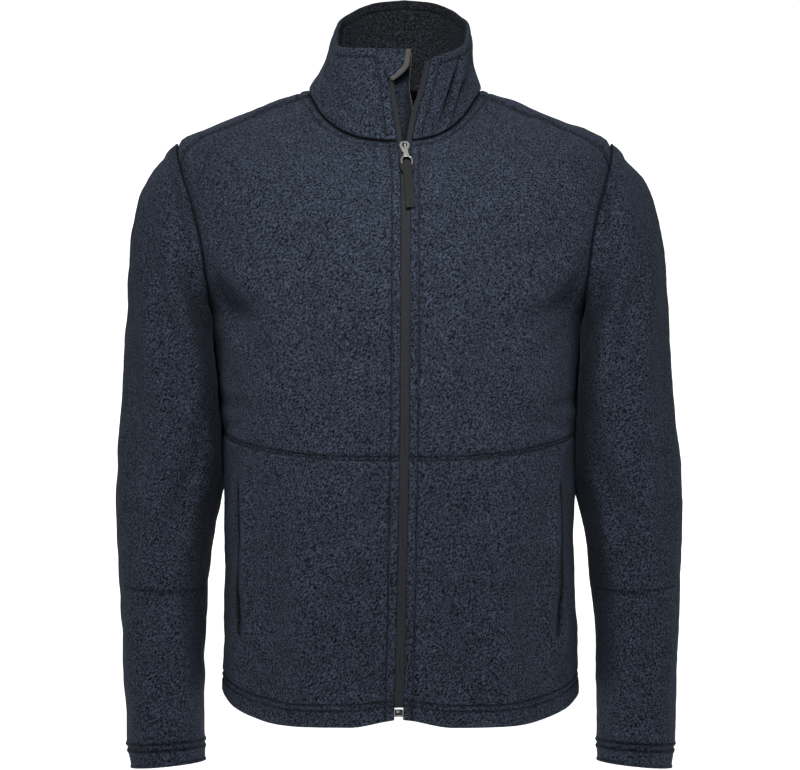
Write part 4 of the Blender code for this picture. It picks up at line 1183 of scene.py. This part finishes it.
# Zip tapes, with their coils behind
TAPE_RINGS = np.unique(np.concatenate([np.linspace(0.0, 0.7, 16), np.linspace(0.7, 11.76, 190)]))
for side, word in ((1, "left"), (-1, "right")):
    rows, coil_path, cols = [], [], 9
    for rise in np.linspace(0.985, 0.02, 44):
        edge_angle = float(collar_edge(side, rise))
        inner = math.degrees(SEAM_GAP * 0.4 / COLLAR_REACH)
        width = math.degrees(TAPE_SHOWN / COLLAR_REACH)
        shares = np.linspace(0, 1, cols)
        angle = edge_angle - side * mix(width, inner, shares)
        bulge = 0.0003 * bell(shares, 0.12, 0.15)
        rows.append(off(collar, angle, np.full(cols, rise), -TAPE + bulge))
        coil_path.append(off(collar, edge_angle - side * width, rise, -TAPE - 0.0008))
    full_depth = FLEECE / 2 + LAYER_GAP + TAPE / 2
    for ring in TAPE_RINGS[1:]:
        opened = max(0.0, 1 - ring / 0.7)
        near = mix(0.0001, NECK_OPENING - TAPE_SHOWN, opened)
        if ring < 0.7:
            far = float(front_edge(ring)) - 0.0006
            high, centre, reach = 0.0003, 0.12, 0.15
        else:
            far = mix(float(front_edge(0.7)), TAPE_WIDTH, ease((ring - 0.7) / 0.5))
            high, centre, reach = 0.0005, 0.14, 0.16
        depth = mix(full_depth - 0.0003, TAPE + 0.0002, max(0.0, 1 - ring / 0.45))
        shares = np.linspace(0, 1, cols)
        places = np.array([float(beside_zip(ring, side * mix(near, far, s))) for s in shares])
        bulge = high * bell(shares, centre, reach)
        rows.append(off(torso, places, np.full(cols, ring), -depth + bulge))
        coil_path.append(off(torso, float(beside_zip(ring, side * (near + 0.0002))), ring, -depth - 0.0011))
    points = np.array(rows)
    quads = grid_quads(points.shape[0], cols)
    rightward = points[0, -1, 0] > points[0, 0, 0]
    quads = quads if rightward else quads[..., ::-1]
    obj = shell("fine_zip_tape_" + word, points, quads, TAPE)
    piece(obj, "jacket", "zip_tape", tape_cloth, "zip_tape_" + word)
    # On the wearer's left tape, a bright nickel strip along the open edge stands in for the coil's highlight:
    # a painted highlight.
    if side > 0:
        rises = np.linspace(0.9, 0.1, 40)
        open_edge = off(collar, [float(collar_edge(1, r)) - width for r in rises], rises, -TAPE)
        piece(tube("zip_edge_painted_highlight", open_edge, 0.00038, 8), "jacket", "zip_metal", nickel)
    path = Line(np.array(coil_path), 0.0003)
    count = int(path.length / 0.0013)
    curve = bpy.data.curves.new("coil_" + word, "CURVE")
    curve.dimensions = "3D"
    curve.bevel_depth = 0.00022
    curve.bevel_resolution = 0
    spline = curve.splines.new("POLY")
    spline.points.add(count * 6)
    for i in range(count * 6 + 1):
        place = i / (count * 6) * (len(path.points) - 1)
        centre = path.points[int(place)]
        turn = i / 6 * math.tau
        radial = Vector((math.cos(turn) * 0.0009, math.sin(turn) * 0.00055, 0))
        spline.points[i].co = (*(Vector(centre) + radial), 1)
    piece(placed("zip_coil_" + word, curve), "jacket", "zip_tape", coil_plastic)


# Storm flap and chin guard


def collar_angle(x, rise):
    z = mix(torso(0.0, 0.0)[2], 0.0365, rise)
    return float(np.degrees(np.arcsin((x - lean(z)) / COLLAR("front", rise))))


rows = []
shares = np.linspace(0, 1, 14)
for rise in np.linspace(0.97, 0.02, 40):
    start = float(collar_edge(-1, rise)) - 5
    end, depth = collar_angle(float(FLAP_EDGE("x", rise)), rise), float(FLAP_EDGE("depth", rise))
    ripple = 0.0008 * math.sin(rise * 9 + 1)
    behind = mix(STORM_FLAP_DEPTH, depth + ripple, shares**1.5)
    rows.append(off(collar, mix(start, end, shares), np.full(14, rise), -behind))
for ring in np.unique(np.concatenate([np.linspace(0.05, 0.7, 14), np.linspace(0.7, 11.76, 130)])):
    reach = np.array([float(beside_zip(ring, mix(-0.018, STORM_FLAP_REACH, s))) for s in shares])
    rows.append(off(torso, reach, np.full(14, ring), -STORM_FLAP_DEPTH + 0.0004 * math.sin(ring * 3)))
rows = np.array(rows)
outward = rows[:, -1] - rows[:, -2]
outward /= np.linalg.norm(outward, axis=1, keepdims=True)
obj = shell("fine_storm_flap", rows, grid_quads(len(rows), 14), 0.0020)
piece(obj, "jacket", "fleece", fleece, "storm_flap")
binding = tube("fine_storm_flap_binding", rows[:, -1] + outward * 0.0010, 0.0012, 10)
piece(binding, "jacket", "binding", binding_cloth, "storm_flap_binding")


def guard_place(full, scale):
    corner = float(collar_edge(-1, 1))
    share = (full - GUARD_LOW) / (1 - GUARD_LOW)
    swing = math.sin(math.radians(90 * min(share / 0.6, 1)))
    angle = corner + (mix(GUARD_LOW_ANGLE, GUARD_TOP_ANGLE, swing) - corner) * scale
    return angle, 1 + (full - 1) * (0.25 + 0.75 * scale)


rows, bound = [], []
for full in np.linspace(0.995, GUARD_LOW + 0.03, 40):
    end, rise = guard_place(full, 0.865)
    start = float(collar_edge(-1, rise)) + math.degrees(0.0003 / 0.08)
    angles = np.linspace(start, end, 26)
    lift = 0.0014 + 0.0006 * np.sin(np.linspace(0, math.pi, 26))
    rows.append(off(collar, angles, np.full(26, rise), lift))
    places = [guard_place(full, s) for s in np.linspace(0.86, 1.0, 7)]
    bulge = 0.0014 + 0.0007 * np.sin(np.linspace(0, math.pi, 7))
    bound.append(off(collar, [p[0] for p in places], [p[1] for p in places], bulge))
rows, bound = np.array(rows), np.array(bound)
obj = shell("fine_chin_guard", rows, grid_quads(*rows.shape[:2]), 0.0020)
piece(obj, "jacket", "fleece", fleece, "chin_guard")
obj = shell("fine_chin_guard_binding", bound, grid_quads(*bound.shape[:2]), 0.0022)
piece(obj, "jacket", "binding", binding_cloth, "chin_guard_binding")

# Pocket zips
for side, word in ((1, "left"), (-1, "right")):
    half_width = math.degrees(POCKET_TAPE / POCKET_REACH)
    depth = FLEECE / 2 + 2 * LAYER_GAP + TAPE / 2
    rings = np.linspace(SLIT_RINGS[0] - 0.1, SLIT_RINGS[1] + 0.1, 70)
    shares = np.linspace(-1, 1, 11)
    angle = SLIT_ANGLE + shares[None, :] * half_width + 0 * rings[:, None]
    ring = rings[:, None] + 0 * angle
    bulge = 0.0007 * np.exp(-((shares / 0.14) ** 2)) * np.where(np.abs(shares) < 0.02, 0.3, 1)
    points = off(torso, side * angle, ring, -depth + bulge[None, :] + 0 * angle)
    quads = grid_quads(*angle.shape)
    obj = shell("fine_pocket_zip_" + word, points, quads if side > 0 else quads[..., ::-1], TAPE)
    piece(obj, "jacket", "zip_tape", slit_shadow_cloth, "pocket_zip_" + word)
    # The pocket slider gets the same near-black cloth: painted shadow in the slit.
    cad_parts["pocket_slider_" + word].data.materials.clear()
    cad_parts["pocket_slider_" + word].data.materials.append(slit_shadow_cloth)

# Bartacks above the pocket slits
for side in (1, -1):
    turns = np.linspace(-0.35, math.pi + 0.35, 40)
    arch_angle = SLIT_ANGLE - 1.4 + np.degrees(0.0045 / POCKET_REACH) * np.cos(turns)
    stitch(torso_line(side * arch_angle, 8.20 - 0.07 * np.sin(turns), HALF + 0.0004), 0.0011, 0.0013, 0.00032)

# Stitches
for line in hem_lines + list(chest_rows.values()) + list(zip_rows.values()) + [neck_rows]:
    stitch(line)
for line in yoke_rows[1] + yoke_rows[-1] + list(side_rows.values()):
    stitch(line)
for line in collar_lines:
    stitch(Line(line.points), lift=COLLAR_THREAD_LIFT)
piece(thread_mesh("stitches"), "jacket", "fleece", thread)

# The zip's slider, in the frame of its place on the zip: X across, Z up the zip, -Y away from the jacket


def zip_frame(height, lift):
    ring = 0.0
    while torso(float(beside_zip(ring, 0)), ring)[2] > height:
        ring += 0.01
    angle = float(beside_zip(ring, 0))
    normal = Vector(normals_of(torso, angle, ring))
    place = Vector(torso(angle, ring)) + normal * lift
    yaw, slope = math.atan2(normal.x, -normal.y), math.atan2(-normal.z, math.hypot(normal.x, normal.y))
    return Matrix.Translation(place) @ Matrix.Rotation(yaw, 4, "Z") @ Matrix.Rotation(slope, 4, "X")


def bevelled(name, outline, depth, thickness, bevel, hole=()):
    """A flat plate cut to an outline of (x, z), its back face at y = depth, with rounded edges."""
    data = bpy.data.curves.new(name + "_outline", "CURVE")
    data.dimensions = "2D"
    data.fill_mode = "BOTH"
    data.extrude = thickness / 2 - bevel
    data.bevel_depth = bevel
    data.bevel_resolution = 2
    data.offset = -bevel
    for points in (outline, *hole):
        spline = data.splines.new("POLY")
        spline.points.add(len(points) - 1)
        for spot, (x, z) in zip(spline.points, points):
            spot.co = (x, z, 0, 1)
        spline.use_cyclic_u = True
    obj = placed(name + "_outline", data)
    bpy.context.view_layer.update()
    mesh = bpy.data.meshes.new_from_object(obj.evaluated_get(bpy.context.evaluated_depsgraph_get()))
    bpy.data.objects.remove(obj)
    upright = Matrix(((1, 0, 0, 0), (0, 0, -1, depth - thickness / 2), (0, 1, 0, 0), (0, 0, 0, 1)))
    mesh.transform(upright)
    mesh.shade_smooth()
    mesh.set_sharp_from_angle(angle=math.radians(50))
    return placed(name, mesh)


def joined(name, objects, matrix):
    """One object from several, moved by a matrix."""
    gathered = bmesh.new()
    for obj in objects:
        gathered.from_mesh(obj.data)
        bpy.data.objects.remove(obj)
    bmesh.ops.transform(gathered, matrix=matrix, verts=gathered.verts)
    data = bpy.data.meshes.new(name)
    gathered.to_mesh(data)
    gathered.free()
    data.set_sharp_from_angle(angle=math.radians(50))
    return placed(name, data)


def mirrored(half):
    return half + [(-x, z) for x, z in reversed(half) if abs(x) > 1e-7]


crown = [(0.0, 0.0062), (0.0022, 0.0059), (0.0040, 0.0048), (0.0052, 0.0030), (0.0055, 0.0008)]
crown += [(0.0050, -0.0014), (0.0040, -0.0034), (0.0034, -0.0052), (0.0036, -0.0068), (0.0, -0.0070)]
eye_turns = np.linspace(0, math.tau, 22, endpoint=False)
eye = [(0.0027 * math.cos(t), 0.0012 + 0.0032 * math.sin(t)) for t in eye_turns]
plate = bevelled("slider_face", mirrored(crown), -0.0002, 0.0020, 0.0005)
hood = [(0.0, 0.0058), (0.0022, 0.0054), (0.0038, 0.0040), (0.0046, 0.0018), (0.0042, -0.0010)]
hood += [(0.0030, -0.0034), (0.0026, -0.0060), (0.0, -0.0062)]
raised = bevelled("slider_hood", mirrored(hood), -0.0019, 0.0009, 0.0003, (eye,))
behind = bevelled("slider_behind", mirrored(crown), 0.0058, 0.0012, 0.0003)
arch_turns = np.linspace(0, math.pi, 16)
arch = np.stack([
    0 * arch_turns, -0.0014 - 0.0033 * np.sin(arch_turns), 0.0004 + 0.0040 * np.cos(arch_turns)
], 1)
arch_radii = np.interp(arch_turns, (0, 0.6, 2.5, math.pi), (0.0005, 0.0007, 0.0008, 0.0012))
bail = tube("slider_arch", arch, arch_radii, 12)
place = zip_frame(SLIDER_Z, 0)
obj = joined("fine_slider", [plate, raised, behind, bail], place)
piece(obj, "jacket", "zip_metal", nickel, "zip_slider")
# A thin near-black sheet behind the hood's eye: painted shadow in the slider's slot.
slot = [(0.0031 * math.cos(t), 0.0012 + 0.0035 * math.sin(t)) for t in eye_turns]
slot_shadow_sheet = bevelled("slider_shadow", slot, -0.00215, 0.0001, 0.00002)
piece(joined("fine_slider_slot_shadow", [slot_shadow_sheet], place), "jacket", "zip_metal", slot_shadow_metal)

# The pull: a flat neck under the arch, a horseshoe below it and a strap looped through its foot
TAB_LEAN = math.radians(4.5)
TAB_FOOT, STRIP_HALF = -0.1333, 0.0041
hinge = zip_frame(SLIDER_Z, 0.0027) @ Matrix.Rotation(-TAB_LEAN, 4, "Y")
neck_half = [(0.0, -0.0052), (0.0024, -0.0056), (0.0026, -0.0090), (0.0030, -0.0125), (0.0034, -0.0150)]
neck = bevelled("pull_neck", mirrored(neck_half + [(0.0, -0.0152)]), -0.0006, 0.0012, 0.00035)
arm = [(0.0026, -0.0148), (0.0046, -0.0160), (0.0055, -0.0182), (0.0056, -0.0215)]
arm += [(0.0050, -0.0245), (0.0, -0.0248)]
both_arms = arm + [(-x, z) for x, z in reversed(arm[:-1])]
shoe_line = Line(np.array([(x, -0.0008, z) for x, z in both_arms]), 0.0006).points
shoe = tube("pull_shoe", shoe_line, 0.00095, 12)
eyelet_turns = np.linspace(0, math.tau, 24)
eyelet_line = np.stack([
    0 * eyelet_turns, -0.0006 + 0.0012 * np.cos(eyelet_turns), -0.0035 + 0.0026 * np.sin(eyelet_turns)
], 1)
eyelet = tube("pull_eyelet", eyelet_line, 0.0007, 12)
piece(joined("fine_pull_link", [neck, shoe, eyelet], hinge), "pull", "zip_metal", nickel, "zip_pull_link")
ear = []
for t in np.linspace(0, math.tau, 34, endpoint=False):
    c, si = math.cos(t), math.sin(t)
    size = (abs(c) ** 3.4 + abs(si) ** 3.4) ** (-1 / 3.4)
    ear.append((0.0074 * c * size, -0.0275 + 0.0063 * si * size))
ear_hole = [(x * 0.58, (z + 0.0275) * 0.36 - 0.0262) for x, z in ear]
ears = bevelled("tab_ears", ear, 0.0006, 0.0022, 0.0006, (ear_hole,))
top = hinge @ Vector((0, -0.0018, -0.0258))
rows, share = [], np.linspace(-1, 1, 13)
ring = 0.0
for height in np.linspace(top.z, TAB_FOOT, 60):
    while torso(float(beside_zip(ring, 0.006)), ring)[2] > height:
        ring += 0.002
    down = (top.z - height) / (top.z - TAB_FOOT)
    lift = HALF + 0.0016 + 0.0007 * math.sin(down * 7) + 0.0024 * (1 - ease(down / 0.25))
    middle = 0.0020 + 0.0030 * down
    spots = np.array([float(beside_zip(ring, middle + STRIP_HALF * k)) for k in share])
    rows.append(off(torso, spots, np.full(13, ring), lift + 0.0003 * np.cos(share * 1.5) + 0 * share))
rows = np.array(rows)
back_to_hinge = np.array(hinge.inverted())
rows = rows @ back_to_hinge[:3, :3].T + back_to_hinge[:3, 3]
strip = shell("tab_strip", rows, grid_quads(60, 13), 0.0018)
piece(joined("fine_pull_tab", [ears, strip], hinge), "pull", "pull_tab", strap_cloth, "zip_pull_tab")

# The retainer at the foot of the zip: a dark box with a bright pin and bar
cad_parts["zip_box"].data.materials.clear()
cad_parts["zip_box"].data.materials.append(coil_plastic)
foot_place = zip_frame(-0.6615, -0.0010)
bits = []
for name, x0, x1, z0, z1 in (
    ("box_pin", -0.0026, 0.0006, 0.0008, 0.0034),
    ("box_bar", -0.0034, 0.0034, -0.0036, -0.0019),
):
    bits.append(bevelled(name, [(x0, z0), (x1, z0), (x1, z1), (x0, z1)], -0.0006, 0.0012, 0.0003))
piece(joined("zip_foot_bits", bits, foot_place), "jacket", "zip_metal", nickel)

# Stage, light and camera. The floor and wall are one sheet that can't be seen from behind.
floor_z = -0.80
mesh = bmesh.new()
profile = [(-1.0, floor_z), (0.7, floor_z)]
for t in np.linspace(0.1, math.pi / 2, 12):
    profile.append((0.7 + 0.5 * math.sin(t), floor_z + 0.5 * (1 - math.cos(t))))
profile += [(1.2, 0.55)]
left = [mesh.verts.new((-1.1, y, z)) for y, z in profile]
right = [mesh.verts.new((1.1, y, z)) for y, z in profile]
for i in range(len(profile) - 1):
    mesh.faces.new((left[i], right[i], right[i + 1], left[i + 1]))
data = bpy.data.meshes.new("studio")
mesh.to_mesh(data)
mesh.free()
data.shade_smooth()
studio = placed("studio", data)
made, nodes, links, shader = shader_of("studio_white")
shader.inputs["Base Color"].default_value = (0.92, 0.92, 0.92, 1)
shader.inputs["Roughness"].default_value = 1.0
shader.inputs["Emission Color"].default_value = (1, 1, 1, 1)
shader.inputs["Emission Strength"].default_value = 0.75
side_seen = put(nodes, "ShaderNodeNewGeometry")
clear = put(nodes, "ShaderNodeBsdfTransparent")
one_sided = put(nodes, "ShaderNodeMixShader")
links.new(side_seen.outputs["Backfacing"], one_sided.inputs["Fac"])
links.new(shader.outputs["BSDF"], one_sided.inputs[1])
links.new(clear.outputs["BSDF"], one_sided.inputs[2])
links.new(one_sided.outputs["Shader"], nodes["Material Output"].inputs["Surface"])
data.materials.append(made)


def area_light(name, place, target, size, power, spread=180):
    light = bpy.data.lights.new(name, "AREA")
    light.shape = "RECTANGLE"
    light.size, light.size_y = size
    light.energy = power
    light.spread = math.radians(spread)
    obj = placed(name, light)
    obj.location = place
    obj.rotation_euler = (Vector(target) - Vector(place)).to_track_quat("-Z", "Y").to_euler()


area_light("key", (0.0, -1.35, 0.72), (0, 0, -0.25), (0.40, 0.30), 2.5, 50)
area_light("left_side", (-1.6, -0.3, 0.3), (-0.3, 0, -0.30), (0.4, 0.8), 2)
area_light("right_side", (1.6, -0.3, 0.3), (0.3, 0, -0.30), (0.4, 0.8), 2)
area_light("back", (0.0, 1.1, 1.3), (0, 0.1, -0.2), (1.2, 0.6), 4)

world = bpy.data.worlds.new("studio_world")
bpy.context.scene.world = world
world.use_nodes = True
world.node_tree.nodes["Background"].inputs["Color"].default_value = (0.97, 0.98, 1.0, 1)
world.node_tree.nodes["Background"].inputs["Strength"].default_value = 0.08
bpy.context.scene.view_settings.view_transform = "Standard"
bpy.context.scene.view_settings.look = "None"

camera_data = bpy.data.cameras.new("camera")
camera_data.sensor_width = 36
camera_data.lens = 36 * 4.0 / 0.864
camera_data.clip_end = 50
camera = placed("camera", camera_data)
camera.location = (0, -4.0, -0.3186)
camera.rotation_euler = (math.radians(90), 0, 0)
bpy.context.scene.camera = camera
